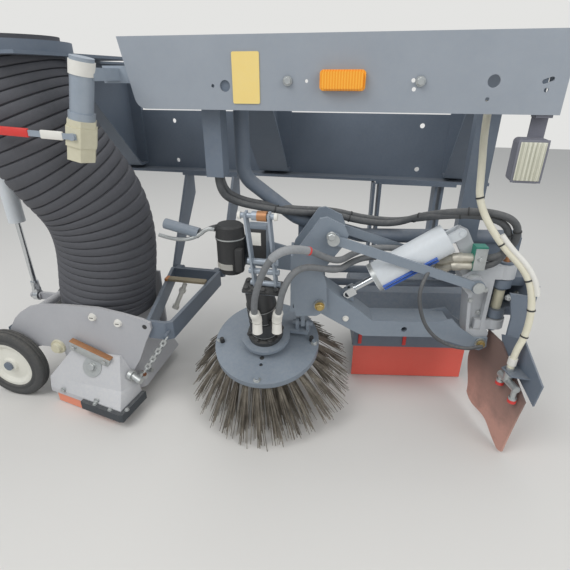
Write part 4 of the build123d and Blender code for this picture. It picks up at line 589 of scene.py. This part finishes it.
def tuft_mesh(root, tip, drop, sweep, wires):
    """One tuft of wires, out along X from the broom's axis."""
    foot_spread = 0.0020
    head_spread = 0.0078
    most_sag = 0.012
    # Thicker than the real wire, which would be too fine to show
    wire_radii = [0.0014, 0.0014, 0.0013, 0.0011]
    bm = bmesh.new()
    start = Vector((root, 0.0, tuft_foot))
    end = Vector((tip * cos(sweep), tip * sin(sweep), -drop))
    for _ in range(wires):
        spread = Vector((chance.gauss(0, 1), chance.gauss(0, 1), chance.gauss(0, 1)))
        worn_length = 0.80 + 0.19 * chance.random()
        foot = start + spread * foot_spread
        head = foot + (end - start) * worn_length + spread * head_spread
        head.z = max(head.z, -drop)
        sag = Vector((0.25, 0.0, 0.35)) * (most_sag * chance.random())
        path = [foot.lerp(head, s) + sag * (4 * s * (1 - s)) for s in (0.0, 0.35, 0.7, 1.0)]
        add_tube(bm, path, wire_radii, 4)
    mesh = bpy.data.meshes.new("tuft")
    bm.to_mesh(mesh)
    bm.free()
    return mesh


def add_copy(bm, mesh, matrix):
    """Adds a mesh at a matrix."""
    before = len(bm.verts)
    bm.from_mesh(mesh)
    bm.verts.ensure_lookup_table()
    bmesh.ops.transform(bm, matrix=matrix, verts=bm.verts[before:])


def broom_wires():
    """Both rows of tufts, with the steel ring that each row is clamped by."""
    tufts = 28
    tuft_wires = 22
    patterns = 5
    sweep = radians(5)
    rows = (
        # root radius, tip radius, drop, turn in tuft pitches
        (0.148, 0.275, 0.190, 0.0),
        (0.124, 0.213, 0.196, 0.5),
    )
    clamp_ring = 0.008
    stand = Matrix.Translation(broom_centre) @ Matrix.Rotation(broom_lean, 4, "X")
    bm = bmesh.new()
    for root, tip, drop, turn in rows:
        kinds = [tuft_mesh(root, tip, drop, sweep, tuft_wires) for _ in range(patterns)]
        for index in range(tufts):
            angle = 2 * pi * (index + turn) / tufts
            kind = kinds[chance.randrange(patterns)]
            add_copy(bm, kind, stand @ Matrix.Rotation(angle, 4, "Z"))
        for mesh in kinds:
            bpy.data.meshes.remove(mesh)
    for root, *_ in rows:
        path = [stand @ Vector((root * cos(a), root * sin(a), tuft_foot - 0.001))
                for a in [2 * pi * step / 64 for step in range(65)]]
        add_tube(bm, path, [clamp_ring] * len(path), 8, capped=False)
    wires = make_piece("broom_wires", bm, wire_finish, "side_broom")
    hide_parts("broom_bristles")


broom_wires()


# Wheels: solid tyres with two grooves round the tread and a moulded ring on the outer face

def solid_tyre(name, centre, side):
    """A tyre about a centre; side is 1 where its outer face looks out from the truck."""
    tyre_half = 0.022
    rim_edge = 0.086
    tread = 0.130
    across = Vector((0.0, float(side), 0.0))
    profile = (
        # radius, distance across from the middle
        (rim_edge, -tyre_half + 0.004), (rim_edge + 0.004, -tyre_half), (0.097, -tyre_half),
        (0.099, -tyre_half + 0.0012), (0.103, -tyre_half + 0.0012), (0.105, -tyre_half),
        (tread - 0.009, -tyre_half), (tread - 0.0025, -tyre_half + 0.004),
        (tread, -tyre_half + 0.010), (tread, -0.009), (tread - 0.003, -0.0075),
        (tread - 0.003, -0.0045), (tread, -0.003), (tread, 0.003), (tread - 0.003, 0.0045),
        (tread - 0.003, 0.0075), (tread, 0.009), (tread, tyre_half - 0.010),
        (tread - 0.0025, tyre_half - 0.004), (tread - 0.009, tyre_half),
        (rim_edge + 0.004, tyre_half), (rim_edge, tyre_half - 0.004),
    )
    bm = bmesh.new()
    verts = [bm.verts.new(centre + front * radius + across * y) for radius, y in profile]
    edges = [bm.edges.new((a, b)) for a, b in zip(verts, verts[1:] + verts[:1])]
    bmesh.ops.spin(bm, geom=verts + edges, cent=centre, axis=(0, 1, 0), angle=2 * pi, steps=96,
                   use_merge=True)
    bmesh.ops.remove_doubles(bm, verts=bm.verts, dist=0.0001)
    tyre = make_piece(name + "_solid_tyre", bm, tyre_rubber, name + "_wheel")
    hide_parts(name + "_tyre")


solid_tyre("outer", Vector((-0.857, -0.758, -0.670)), 1)
solid_tyre("inner", Vector((-0.857, -0.350, -0.670)), -1)


# Hoses, whose routes are the CAD model's own

water_route = vectors(
    (0.604, -0.560, 0.1947), (0.604, -0.560, 0.130), (0.612, -0.582, 0.030),
    (0.616, -0.600, -0.050), (0.684, -0.606, -0.150), (0.770, -0.630, -0.225),
    (0.797, -0.640, -0.310), (0.800, -0.646, -0.400), (0.780, -0.656, -0.462),
    (0.780, -0.656, -0.5097))
loop_route = vectors((-0.090, -0.620, -0.0053)) + arm_points(
    (0.849, -0.055, 0.022), (0.800, -0.095, 0.060), (0.715, -0.114, 0.073),
    (0.635, -0.126, 0.073), (0.521, -0.134, 0.097), (0.430, -0.158, 0.098),
    (0.325, -0.168, 0.098), (0.255, -0.125, 0.055), (0.200, -0.092, -0.020),
    (0.115, -0.076, -0.060), (0.030, -0.100, -0.062), (0.014, -0.160, -0.058),
    (0.040, -0.222, -0.0343), (0.0827, -0.222, -0.0343))
feed_route = arm_points(
    (0.1463, -0.222, -0.0343), (0.166, -0.222, -0.0343), (0.196, -0.250, 0.0),
    (0.232, -0.246, 0.044), (0.300, -0.226, 0.0475), (0.400, -0.226, 0.0475),
    (0.455, -0.232, 0.010), (0.500, -0.225, -0.070), (0.545, -0.205, -0.090),
) + vectors(
    (0.190, -0.706, -0.176), (0.134, -0.770, -0.152), (0.088, -0.780, -0.190),
    (0.052, -0.780, -0.290), (0.044, -0.765, -0.360), (0.046, -0.742, -0.3837),
    (0.046, -0.742, -0.3997))
return_route = arm_points(
    (0.1463, -0.246, -0.0343), (0.166, -0.246, -0.0343), (0.196, -0.275, 0.0),
    (0.232, -0.273, 0.044), (0.300, -0.256, 0.0475), (0.400, -0.256, 0.0475),
    (0.455, -0.258, 0.010), (0.500, -0.252, -0.070), (0.545, -0.240, -0.090),
) + vectors(
    (0.182, -0.712, -0.222), (0.150, -0.757, -0.226), (0.124, -0.763, -0.285),
    (0.116, -0.758, -0.342), (0.102, -0.728, -0.3837), (0.102, -0.728, -0.3997))


def bands(name, finish, path, spots, radius, width, body=None, bend=None):
    """Rings of a radius and width at shares of a hose's points, that ride on a body when one is
    given.
    """
    bm = bmesh.new()
    for share in spots:
        here = int(share * (len(path) - 2))
        run = (path[here + 1] - path[here]).normalized()
        add_round(bm, path[here] - run * (width / 2), run, radius, width, sides=20)
    piece = make_piece(name, bm, finish, body)
    if bend:
        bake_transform(piece)


def water_line():
    """The cream hose from the frame down to the jets, with its ties and a second tube."""
    path, line = smooth_route("water_line", water_route)
    bands("water_ties", moulded_black, path, (0.30, 0.46, 0.60, 0.72, 0.84),
          0.0112, 0.004, "frame")
    bands("water_ferrule", white_plastic, path, (0.985,), 0.0125, 0.022, "frame")
    beside = Vector((0.0115, -0.005, 0.006))
    sleeved = path[int(0.42 * len(path)):int(0.66 * len(path))]
    make_tube("water_sleeve", [place + beside for place in sleeved], 0.0075, white_plastic,
              "frame")
    line.data.bevel_depth = 0.0095
    line.data.bevel_resolution = 5
    line.data.use_fill_caps = True
    line.data.materials.append(water_tube)
    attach(line, "frame")
    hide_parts("water_hose")


def loop_line(name, route, turn_at, node=None):
    """A hose from the post to the clamp, looped over the kingpin, with its ties."""
    path = smooth_path(name + "_path", route)
    hose = make_hose(name, path, 0.010, hose_cover)
    if node:
        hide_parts(node)
    bands(name + "_ties", moulded_black, path, (0.22, 0.40, 0.58, 0.70, 0.86),
          0.0116, 0.004, bend=(("frame", "swing_head"), *turn_at))


def motor_line(name, node, route):
    """A motor hose in three lengths, each running over one joint of the arm."""
    coupling_length = 0.085
    coupling_steps = (0.0150, 0.0150, 0.0125, 0.0140, 0.0140, 0.0120)
    tape_length = 0.052
    woven_share = 0.34
    path = smooth_path(name + "_path", route)
    arm_middle = arm_point(0.44, -0.24, 0.02)
    arm_cut = min(range(len(path)), key=lambda i: (path[i] - arm_middle).length)
    carrier_cut = min(range(len(path)), key=lambda i: (path[i] - route[9]).length)
    lengths = (
        # name, points, bodies, where it turns
        ("_arm", path[:arm_cut + 1], ("swing_head", "main_arm"),
         (arm_point(0.17, -0.25), arm_point(0.40, -0.25))),
        ("_bend", path[arm_cut:carrier_cut + 1], ("main_arm", "carrier"),
         (arm_point(0.45, -0.25), arm_point(0.56, -0.22))),
        ("_drop", path[carrier_cut:], ("carrier", "broom_head"),
         (route[9], route[12])),
    )
    # The stepped coupling at the clamp
    coupling = [place for place in path if (place - path[0]).length < coupling_length]
    radii = [coupling_steps[len(coupling_steps) * index // len(coupling)]
             for index in range(len(coupling))]
    piece = make_tube(name + "_coupling", coupling, radii, coupling_zinc, None, 24)
    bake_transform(piece)
    # The feed hose's woven sleeve with its red end
    if name == "motor_feed":
        drop = path[carrier_cut:]
        woven = drop[:int(woven_share * len(drop))]
        for part, points, radius, finish in (("_sleeve", woven, 0.0116, woven_sleeve),
                                             ("_sleeve_tip", woven[:2], 0.0122, red_plastic)):
            piece = make_tube(name + part, points, radius, finish, None)
            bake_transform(piece)
    # The taped end at the motor
    taped = [place for place in path if (place - path[-1]).length < tape_length]
    radii = [0.0128] + [0.0150] * (len(taped) - 2) + [0.0128]
    piece = make_tube(name + "_tape", taped, radii, white_plastic, None, 20)
    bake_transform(piece)
    for part, points, bodies, turn_at in lengths:
        hose = make_hose(name + part, points, 0.0095, worn_cover)
        if part == "_arm":
            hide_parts(node)


loop_turn = (arm_point(0.30, -0.15, 0.09), arm_point(0.10, -0.08, -0.05))
# The second loop hose lies beside the first, and behind it over the kingpin
second_loop = (
    [loop_route[0] + Vector((0.0, 0.022, 0.0))]
    + [place + Vector((0.004, 0.021, 0.005)) for place in loop_route[1:8]]
    + [place + Vector((-0.018, 0.010, -0.014)) for place in loop_route[8:13]]
    + arm_points((0.046, -0.246, -0.0343), (0.0827, -0.246, -0.0343))
)
water_line()
loop_line("loop_hose", loop_route, loop_turn, "hose_loop")
loop_line("second_loop_hose", second_loop, loop_turn)
motor_line("motor_feed", "motor_feed_hose", feed_route)
motor_line("motor_return", "motor_return_hose", return_route)


# Small parts, by the body that holds them

arm_turn = Matrix.Rotation(arm_yaw, 4, "Z")
broom_turn = Matrix.Rotation(broom_lean, 4, "X")
roller_angle = Matrix.Rotation(roller_turn, 4, "Z")
strap_turn = Matrix.Rotation(radians(22.3), 4, "Y")
lever_turn = Matrix.Rotation(radians(3.0), 4, "Y")
level = Matrix.Identity(4)
# Outer faces of the nozzle's plate and of its strap, and the way its box's front looks
plate_y = -0.727
strap_y = -0.745
box_out = Vector((-0.04, -0.91, 0.41))
# The lift barrel's upper eye, by t and z along the arm, and its run and fall
barrel_eye = (0.158, -0.151)
barrel_slope = (0.8374, 0.5465)
barrel_run = arm_along * barrel_slope[0] - up * barrel_slope[1]
# The tilt ladder's upper pin, the actuator's upright axis, the ports and the jets
ladder_top = broom_point(0.0182, 0.0152, 0.4819)
actuator = Vector((-0.062, -0.628, 0.0))
motor_ports = (Vector((0.046, -0.742, -0.434)), Vector((0.102, -0.728, -0.434)))
spray_jets = (Vector((0.7714, -0.6315, -0.590)), Vector((0.7932, -0.6938, -0.604)))


def broom_ring(radius, height, angles):
    """Places on a ring about the broom's axis."""
    return [broom_point(radius * cos(radians(a)), radius * sin(radians(a)), height) for a in angles]


def barrel_point(along, under, w):
    """Point along the lift barrel from its eye, and under its axis."""
    run, fall = barrel_slope
    return arm_point(barrel_eye[0] + run * along - fall * under,
                     barrel_eye[1] - fall * along - run * under, w)


fasteners = (
    # name, finish, slot, body, then place, axis and thread of each
    ("rail_bolts", zinc_plate, "zinc", "frame", (
        ((0.126, -0.698, 0.238), outward, 0.010),
        ((0.425, -0.698, 0.238), outward, 0.010),
        ((0.694, -0.672, 0.178), up, 0.014),
    )),
    ("nozzle_bolts", zinc_plate, "zinc", "nozzle", (
        ((-0.596, strap_y - 0.009, -0.5720), outward, 0.010),
        ((-0.489, strap_y - 0.009, -0.6160), outward, 0.010),
        ((-0.5387, -0.7562, -0.6410), box_out, 0.016),
        ((-0.6485, -0.7890, -0.7330), outward, 0.009),
        ((-0.5020, -0.8150, -0.7340), outward, 0.010),
        ((-0.3960, -0.7000, -0.6900), front + outward, 0.009),
    )),
    ("disc_nuts", zinc_plate, "zinc", "side_broom", tuple(
        (place, broom_up, 0.010) for place in broom_ring(0.156, 0.0005, (188, 272, 4))
    )),
    ("motor_bolts", motor_enamel, "motor_black", "broom_head", tuple(
        (broom_point(x, y, 0.2593), broom_up, 0.0092)
        for x, y in ((-0.030, -0.026), (-0.006, -0.029), (0.020, -0.029), (0.058, -0.026),
                     (-0.030, 0.006))
    )),
    ("motor_foot_bolts", motor_enamel, "motor_black", "broom_head", tuple(
        (place, broom_up, 0.009)
        for place in broom_ring(0.0500, 0.050, (205, 250, 300, 340, 20, 150))
    )),
    ("carrier_bolts", zinc_plate, "zinc", "carrier", (
        ((0.2433, -0.6640, -0.1475), arm_out, 0.012),
    )),
    ("carrier_brass", passivated_brass, "zinc", "carrier", (
        (arm_point(0.552, -0.372, -0.070), arm_out, 0.013),
    )),
    ("casting_bolts", zinc_plate, "zinc", "swing_head", (
        ((0.6976, -0.5375, -0.3261), arm_out, 0.008),
        ((0.6982, -0.5155, -0.4147), arm_out, 0.008),
        ((0.6606, -0.5435, -0.3618), arm_out, 0.007),
    )),
    ("bumper_bolts", zinc_plate, "zinc", "nozzle", (
        ((-0.5049, -0.8233, -0.7400), up, 0.007),
        ((-0.3847, -0.8270, -0.7400), up, 0.007),
        ((-0.4400, -0.8380, -0.7400), up, 0.007),
    )),
    ("bracket_nuts", zinc_plate, "zinc", "frame", (
        ((0.8130, -0.4606, -0.3647), (-0.985, -0.17, 0.0), 0.009),
        ((0.7594, -0.5588, -0.3350), (-0.94, -0.33, 0.0), 0.009),
        ((0.7869, -0.4303, -0.3995), up, 0.009),
    )),
    ("clamp_bolt", zinc_plate, "zinc", "swing_head", (
        (arm_point(0.100, -0.220, -0.0523), arm_out, 0.008),
    )),
)
for name, finish, slot, body, bolts in fasteners:
    bm = bmesh.new()
    for place, axis, size in bolts:
        add_bolt(bm, place, axis, size)
    make_piece(name, bm, finish, body)

rounds = (
    # name, finish, slot, body, then place, axis, radius, length and far radius of each
    ("nozzle_caps", white_plastic, "cylinder_white", "nozzle", (
        ((-0.517, plate_y, -0.4594), outward, 0.014, 0.008, 0.011),
        ((-0.427, plate_y, -0.4709), outward, 0.014, 0.008, 0.011),
    )),
    # A thin black disc on the plate, painted shade standing for the hole's depth
    ("nozzle_hole_shade", moulded_black, "black_plastic", "nozzle", (
        ((-0.334, plate_y, -0.4741), outward, 0.008, 0.0006, 0.008),
    )),
    ("nozzle_washer", zinc_plate, "zinc", "nozzle", (
        ((-0.5387, -0.7535, -0.6425), box_out, 0.037, 0.004, 0.036),
    )),
    ("shelf_fitting", zinc_plate, "zinc", "nozzle", (
        ((-0.4092, -0.6765, -0.7158), (0.8, -0.5, 0.35), 0.012, 0.030, 0.010),
        ((-0.4028, -0.6448, -0.7163), (0.9, -0.2, 0.3), 0.009, 0.024, 0.008),
    )),
    ("box_fitting", zinc_plate, "zinc", "nozzle", (
        ((-0.4080, -0.7420, -0.6640), (1.0, -0.25, -0.1), 0.019, 0.014, 0.018),
        ((-0.3950, -0.7450, -0.6650), (1.0, -0.35, -0.25), 0.012, 0.036, 0.010),
        ((-0.3700, -0.7540, -0.6710), (1.0, -0.35, -0.25), 0.014, 0.010, 0.012),
    )),
    ("chain_foot", rust, "zinc", "nozzle", (
        ((-0.3990, -0.6900, -0.6950), (0.9, -0.4, 0.1), 0.009, 0.018, 0.007),
    )),
    ("kingpin_sleeve", forged_cream, "cast_grey", "frame", (
        ((0.750, -0.497, -0.402), up, 0.0153, 0.066, 0.0153),
    )),
    ("barrel_lines", blue_tube, "cylinder_white", "lift_barrel", tuple(
        (barrel_point(0.09, under, w), barrel_run, 0.0035, 0.172, 0.0035)
        for under, w in ((0.032, -0.0480), (0.019, -0.0555))
    )),
    ("barrel_cap", zinc_plate, "zinc", "lift_barrel", (
        (barrel_point(0.262, 0.0, -0.012), barrel_run, 0.0462, 0.0145, 0.0450),
    )),
    ("clamp_ports", coupling_zinc, "zinc", "swing_head", tuple(
        (arm_point(0.1175, height, -0.0343), arm_along, 0.0128, 0.029, 0.0128)
        for height in (-0.222, -0.246)
    )),
    ("nozzle_ring", forged_cream, "cylinder_white", "nozzle", (
        ((-0.678, plate_y, -0.596), outward, 0.027, 0.007, 0.0255),
        ((-0.678, plate_y - 0.007, -0.596), outward, 0.019, 0.012, 0.016),
    )),
    # A thin black disc on the broom's disc, painted shade standing for a hole
    ("disc_hole_shade", moulded_black, "black_plastic", "side_broom", (
        ((0.0462, -0.7017, -0.5557), broom_up, 0.0075, 0.0006, 0.0075),
    )),
    ("disc_rim", dusty_rim, "arm_steel", "side_broom", (
        (broom_point(0.0, 0.0, -0.024), broom_up, 0.1665, 0.006, 0.1680),
        (broom_point(0.0, 0.0, -0.017), broom_up, 0.1680, 0.005, 0.1680),
    )),
    ("stud_caps", moulded_black, "black_plastic", "side_broom", tuple(
        (place, broom_up, 0.008, 0.017, 0.0065) for place in broom_ring(0.147, 0.0005, (191, 8))
    )),
    ("motor_seams", zinc_plate, "zinc", "broom_head", tuple(
        (broom_point(0.0, 0.0, height), broom_up, 0.0464, 0.0018, 0.0464)
        for height in (0.0610, 0.1240, 0.1740)
    )),
    ("port_sleeves", white_plastic, "cylinder_white", "broom_head", tuple(
        (port - up * 0.001, up, 0.0152, 0.034, 0.0138) for port in motor_ports
    )),
    ("ladder_bush", copper_bush, "zinc", "broom_head", (
        (ladder_top, front, 0.0135, 0.025, 0.0135),
    )),
    ("ladder_caps", white_plastic, "cylinder_white", "broom_head", (
        (ladder_top + front * 0.0445, front, 0.0105, 0.008, 0.009),
        (ladder_top - front * 0.0445, -front, 0.0105, 0.008, 0.009),
    )),
    ("actuator_band", zinc_plate, "zinc", "carrier", (
        (actuator + up * -0.1835, up, 0.0452, 0.0035, 0.0452),
    )),
    ("kingpin_plug", copper_bush, "zinc", "swing_head", (
        ((0.750, -0.497, -0.250), up, 0.012, 0.006, 0.011),
        ((0.750, -0.497, -0.244), up, 0.007, 0.012, 0.005),
    )),
    ("kingpin_wire", zinc_plate, "zinc", "swing_head", (
        ((0.750, -0.497, -0.233), (0.12, 0.0, 1.0), 0.0014, 0.030, 0.0012),
    )),
    ("brass_plug", passivated_brass, "zinc", "swing_head", (
        (arm_point(0.043, -0.506, -0.050), arm_out, 0.013, 0.008, 0.011),
        (arm_point(0.043, -0.506, -0.058), arm_out, 0.007, 0.006, 0.006),
    )),
    ("arm_cap", white_plastic, "cylinder_white", "main_arm", (
        ((0.2954, -0.6181, -0.4282), arm_out, 0.010, 0.006, 0.007),
    )),
    ("jet_caps", red_plastic, "skirt_rubber", "frame", tuple(
        (jet, up, 0.0122, 0.010, 0.0122) for jet in spray_jets
    )),
    ("turnbuckle", white_plastic, "cylinder_white", "nozzle", (
        ((-0.332, -0.414, -0.468), (-0.047, -0.034, -0.115), 0.0085, 0.110, 0.0085),
        ((-0.340, -0.420, -0.488), (-0.047, -0.034, -0.115), 0.013, 0.014, 0.013),
        ((-0.366, -0.439, -0.552), (-0.047, -0.034, -0.115), 0.013, 0.014, 0.013),
    )),
    ("valve_body", forged_cream, "cylinder_white", "frame", (
        ((-0.3824, -0.8000, 0.0602), (0.052, 0.0, 0.226), 0.0365, 0.034, 0.0365),
        ((-0.3745, -0.8000, 0.0940), (0.052, 0.0, 0.226), 0.0400, 0.046, 0.0400),
        ((-0.3642, -0.8000, 0.1390), (0.052, 0.0, 0.226), 0.0365, 0.016, 0.0365),
    )),
    ("valve_clamp", white_plastic, "cylinder_white", "frame", (
        ((-0.3385, -0.8000, 0.251), (0.052, 0.0, 0.226), 0.0295, 0.030, 0.0295),
    )),
)
for name, finish, slot, body, parts in rounds:
    sides = 6 if name == "valve_body" else 32
    bm = bmesh.new()
    for place, axis, radius, length, tip in parts:
        add_round(bm, place, axis, radius, length, tip, sides)
    make_piece(name, bm, finish, body)

blocks = (
    # name, finish, slot, body, turn, then place and size of each
    ("nozzle_strap", zinc_plate, "zinc", "nozzle", strap_turn, (
        ((-0.5425, strap_y, -0.5940), (0.152, 0.018, 0.036)),
    )),
    ("strap_edge", copper_bush, "zinc", "nozzle", strap_turn, (
        ((-0.5352, strap_y - 0.001, -0.5762), (0.152, 0.020, 0.005)),
    )),
    # Thin black strips on the caps, painted shade standing for their slots
    ("cap_slot_shades", moulded_black, "black_plastic", "nozzle", level, (
        ((-0.517, plate_y - 0.0078, -0.4594), (0.014, 0.001, 0.003)),
        ((-0.427, plate_y - 0.0078, -0.4709), (0.014, 0.001, 0.003)),
    )),
    ("motor_cap", motor_enamel, "motor_black", "broom_head", broom_turn, (
        (broom_point(0.014, -0.009, 0.2538), (0.112, 0.054, 0.0112)),
    )),
    ("rest_bar", beige_strap, "frame_steel", "nozzle", level, (
        ((-0.322, -0.4145, -0.4525), (0.150, 0.030, 0.011)),
    )),
    ("rest_bar_end", orange_tip, "frame_steel", "nozzle", level, (
        ((-0.403, -0.4145, -0.4525), (0.014, 0.031, 0.012)),
    )),
    ("carrier_box", moulded_black, "black_plastic", "carrier", level, (
        ((0.018, -0.6257, -0.200), (0.058, 0.008, 0.090)),
    )),
    ("carrier_label", white_plastic, "cylinder_white", "carrier", level, (
        ((0.0120, -0.6302, -0.184), (0.042, 0.001, 0.040)),
    )),
    ("actuator_box", moulded_black, "black_plastic", "carrier", level, (
        ((-0.026, -0.660, -0.243), (0.026, 0.024, 0.076)),
    )),
    ("clamp_cover", zinc_plate, "zinc", "swing_head", arm_turn, (
        (arm_point(0.100, -0.222, -0.0503), (0.034, 0.004, 0.066)),
    )),
    ("lever_sleeve", red_plastic, "skirt_rubber", "frame", lever_turn, (
        ((-0.548, -0.836, 0.1272), (0.118, 0.009, 0.021)),
    )),
    ("lever_base", white_plastic, "cylinder_white", "frame", lever_turn, (
        ((-0.425, -0.836, 0.1208), (0.060, 0.008, 0.020)),
    )),
    ("hood_hooks", red_plastic, "skirt_rubber", "roller_unit", roller_angle, (
        ((0.5046, -0.3835, -0.630), (0.013, 0.004, 0.046)),
        ((0.3437, -0.4105, -0.630), (0.013, 0.004, 0.040)),
    )),
    ("lamp_frame", faded_housing, "lamp_black", "frame", level, (
        ((0.682, -0.7055, 0.076), (0.064, 0.003, 0.094)),
    )),
    ("lamp_glass", clear_lens, "lamp_black", "frame", level, (
        ((0.682, -0.7080, 0.076), (0.054, 0.003, 0.084)),
    )),
    ("lamp_ribs", clear_lens, "lamp_black", "frame", level, tuple(
        ((0.660 + 0.0073 * rib, -0.7100, 0.076), (0.0030, 0.002, 0.080)) for rib in range(7)
    )),
)
for name, finish, slot, body, turn, parts in blocks:
    bm = bmesh.new()
    for place, size in parts:
        add_block(bm, place, size, turn)
    soften(bm, min(min(size) for place, size in parts) * 0.3)
    make_piece(name, bm, finish, body)


def add_patch(bm, axis_place, radius, low, high, first, last):
    """A sheet bent round an upright axis between two heights and two angles in degrees."""
    steps = 8
    rows = []
    for step in range(steps + 1):
        angle = radians(first + (last - first) * step / steps)
        out = Vector((cos(angle), sin(angle), 0.0)) * radius
        rows.append([bm.verts.new(axis_place + out + up * height) for height in (low, high)])
    for left, right in zip(rows, rows[1:]):
        bm.faces.new((left[0], right[0], right[1], left[1]))


# Blank label round the actuator
bm = bmesh.new()
add_patch(bm, actuator, 0.0428, -0.276, -0.257, 205, 292)
bmesh.ops.solidify(bm, geom=bm.faces[:], thickness=0.0008)
make_piece("actuator_patch", bm, white_plastic, "carrier")

lines = (
    # name, finish, slot, body, radius, whether it has rings along it, its points
    ("thin_loop", hose_cover, "hose_rubber", "swing_head", 0.0055, False, arm_points(
        (0.222, -0.236, -0.040), (0.262, -0.262, -0.085), (0.275, -0.330, -0.105),
        (0.235, -0.430, -0.100), (0.160, -0.492, -0.085), (0.090, -0.506, -0.080),
        (0.060, -0.506, -0.066), (0.043, -0.506, -0.064))),
    ("flex_conduit", zinc_plate, "zinc", "carrier", 0.0065, True, vectors(
        (-0.104, -0.640, -0.160), (-0.130, -0.632, -0.158), (-0.165, -0.616, -0.190),
        (-0.215, -0.602, -0.214), (-0.270, -0.598, -0.216), (-0.312, -0.596, -0.206))),
    ("inline_sleeve", arm_enamel, "arm_steel", "carrier", 0.0165, False, vectors(
        (-0.172, -0.604, -0.188), (-0.205, -0.602, -0.182), (-0.245, -0.600, -0.174),
        (-0.285, -0.598, -0.166))),
    ("sleeve_lead", hose_cover, "hose_rubber", "carrier", 0.0055, False, vectors(
        (-0.100, -0.636, -0.150), (-0.125, -0.624, -0.160), (-0.150, -0.612, -0.176),
        (-0.176, -0.604, -0.187))),
)
ring_step = 0.004
for name, finish, slot, body, radius, ribbed, route in lines:
    path = smooth_path(name + "_path", route)
    if ribbed:
        # A ring is a wide point of the tube between two narrow ones
        points = 2 * int(length_of(path) / ring_step)
        fine = []
        for step in range(points):
            share = step / (points - 1) * (len(path) - 1)
            here = min(int(share), len(path) - 2)
            fine.append(path[here].lerp(path[here + 1], share - here))
        radii = [radius if step % 2 else radius * 0.86 for step in range(points)]
        piece = make_tube(name, fine, radii, finish, body, 12)
    else:
        piece = make_tube(name, path, radius, finish, body)


# Stage: pale floor and soft studio light

def studio():
    """Floor, three soft lamps and a pale backdrop that only the camera sees."""
    bm = bmesh.new()
    bmesh.ops.create_grid(bm, x_segments=1, y_segments=1, size=6.0,
                          matrix=Matrix.Translation((0.0, 0.0, road_z - 0.0005)))
    mesh = bpy.data.meshes.new("floor")
    bm.to_mesh(mesh)
    bm.free()
    material, tree, shader, place = new_finish("floor_paint", Roughness=0.9)
    shader.inputs["Base Color"].default_value = colour("#dcd9d4")
    mesh.materials.append(material)
    floor = bpy.data.objects.new("floor", mesh)
    bpy.context.scene.collection.objects.link(floor)
    lamps = (
        # name, place, size, watts, aim
        ("key", (-1.6, -2.6, 2.6), 2.2, 62.0, (0.0, -0.5, -0.3)),
        ("fill", (2.4, -2.2, 1.4), 2.0, 26.0, (0.2, -0.5, -0.3)),
        ("top", (0.0, 0.8, 2.8), 2.4, 34.0, (0.0, -0.4, -0.3)),
    )
    for name, place, size, watts, aim in lamps:
        lamp = bpy.data.objects.new(name, bpy.data.lights.new(name, "AREA"))
        lamp.data.size = size
        lamp.data.energy = watts
        lamp.location = place
        lamp.rotation_euler = (Vector(aim) - Vector(place)).to_track_quat("-Z", "Y").to_euler()
        bpy.context.scene.collection.objects.link(lamp)
    world = bpy.data.worlds.new("studio")
    world.use_nodes = True
    tree = world.node_tree
    light = tree.nodes["Background"]
    light.inputs["Color"].default_value = colour("#e6ebf0")
    light.inputs["Strength"].default_value = 0.62
    backdrop = add_node(tree, "ShaderNodeBackground",
                        {"Color": colour("#e9e9e7"), "Strength": 0.95})
    ray = add_node(tree, "ShaderNodeLightPath")
    mix = add_node(tree, "ShaderNodeMixShader", {},
                   {0: ray.outputs["Is Camera Ray"], 1: light.outputs[0], 2: backdrop.outputs[0]})
    tree.links.new(mix.outputs[0], tree.nodes["World Output"].inputs["Surface"])
    bpy.context.scene.world = world


studio()
bpy.context.scene.view_settings.view_transform = "Standard"
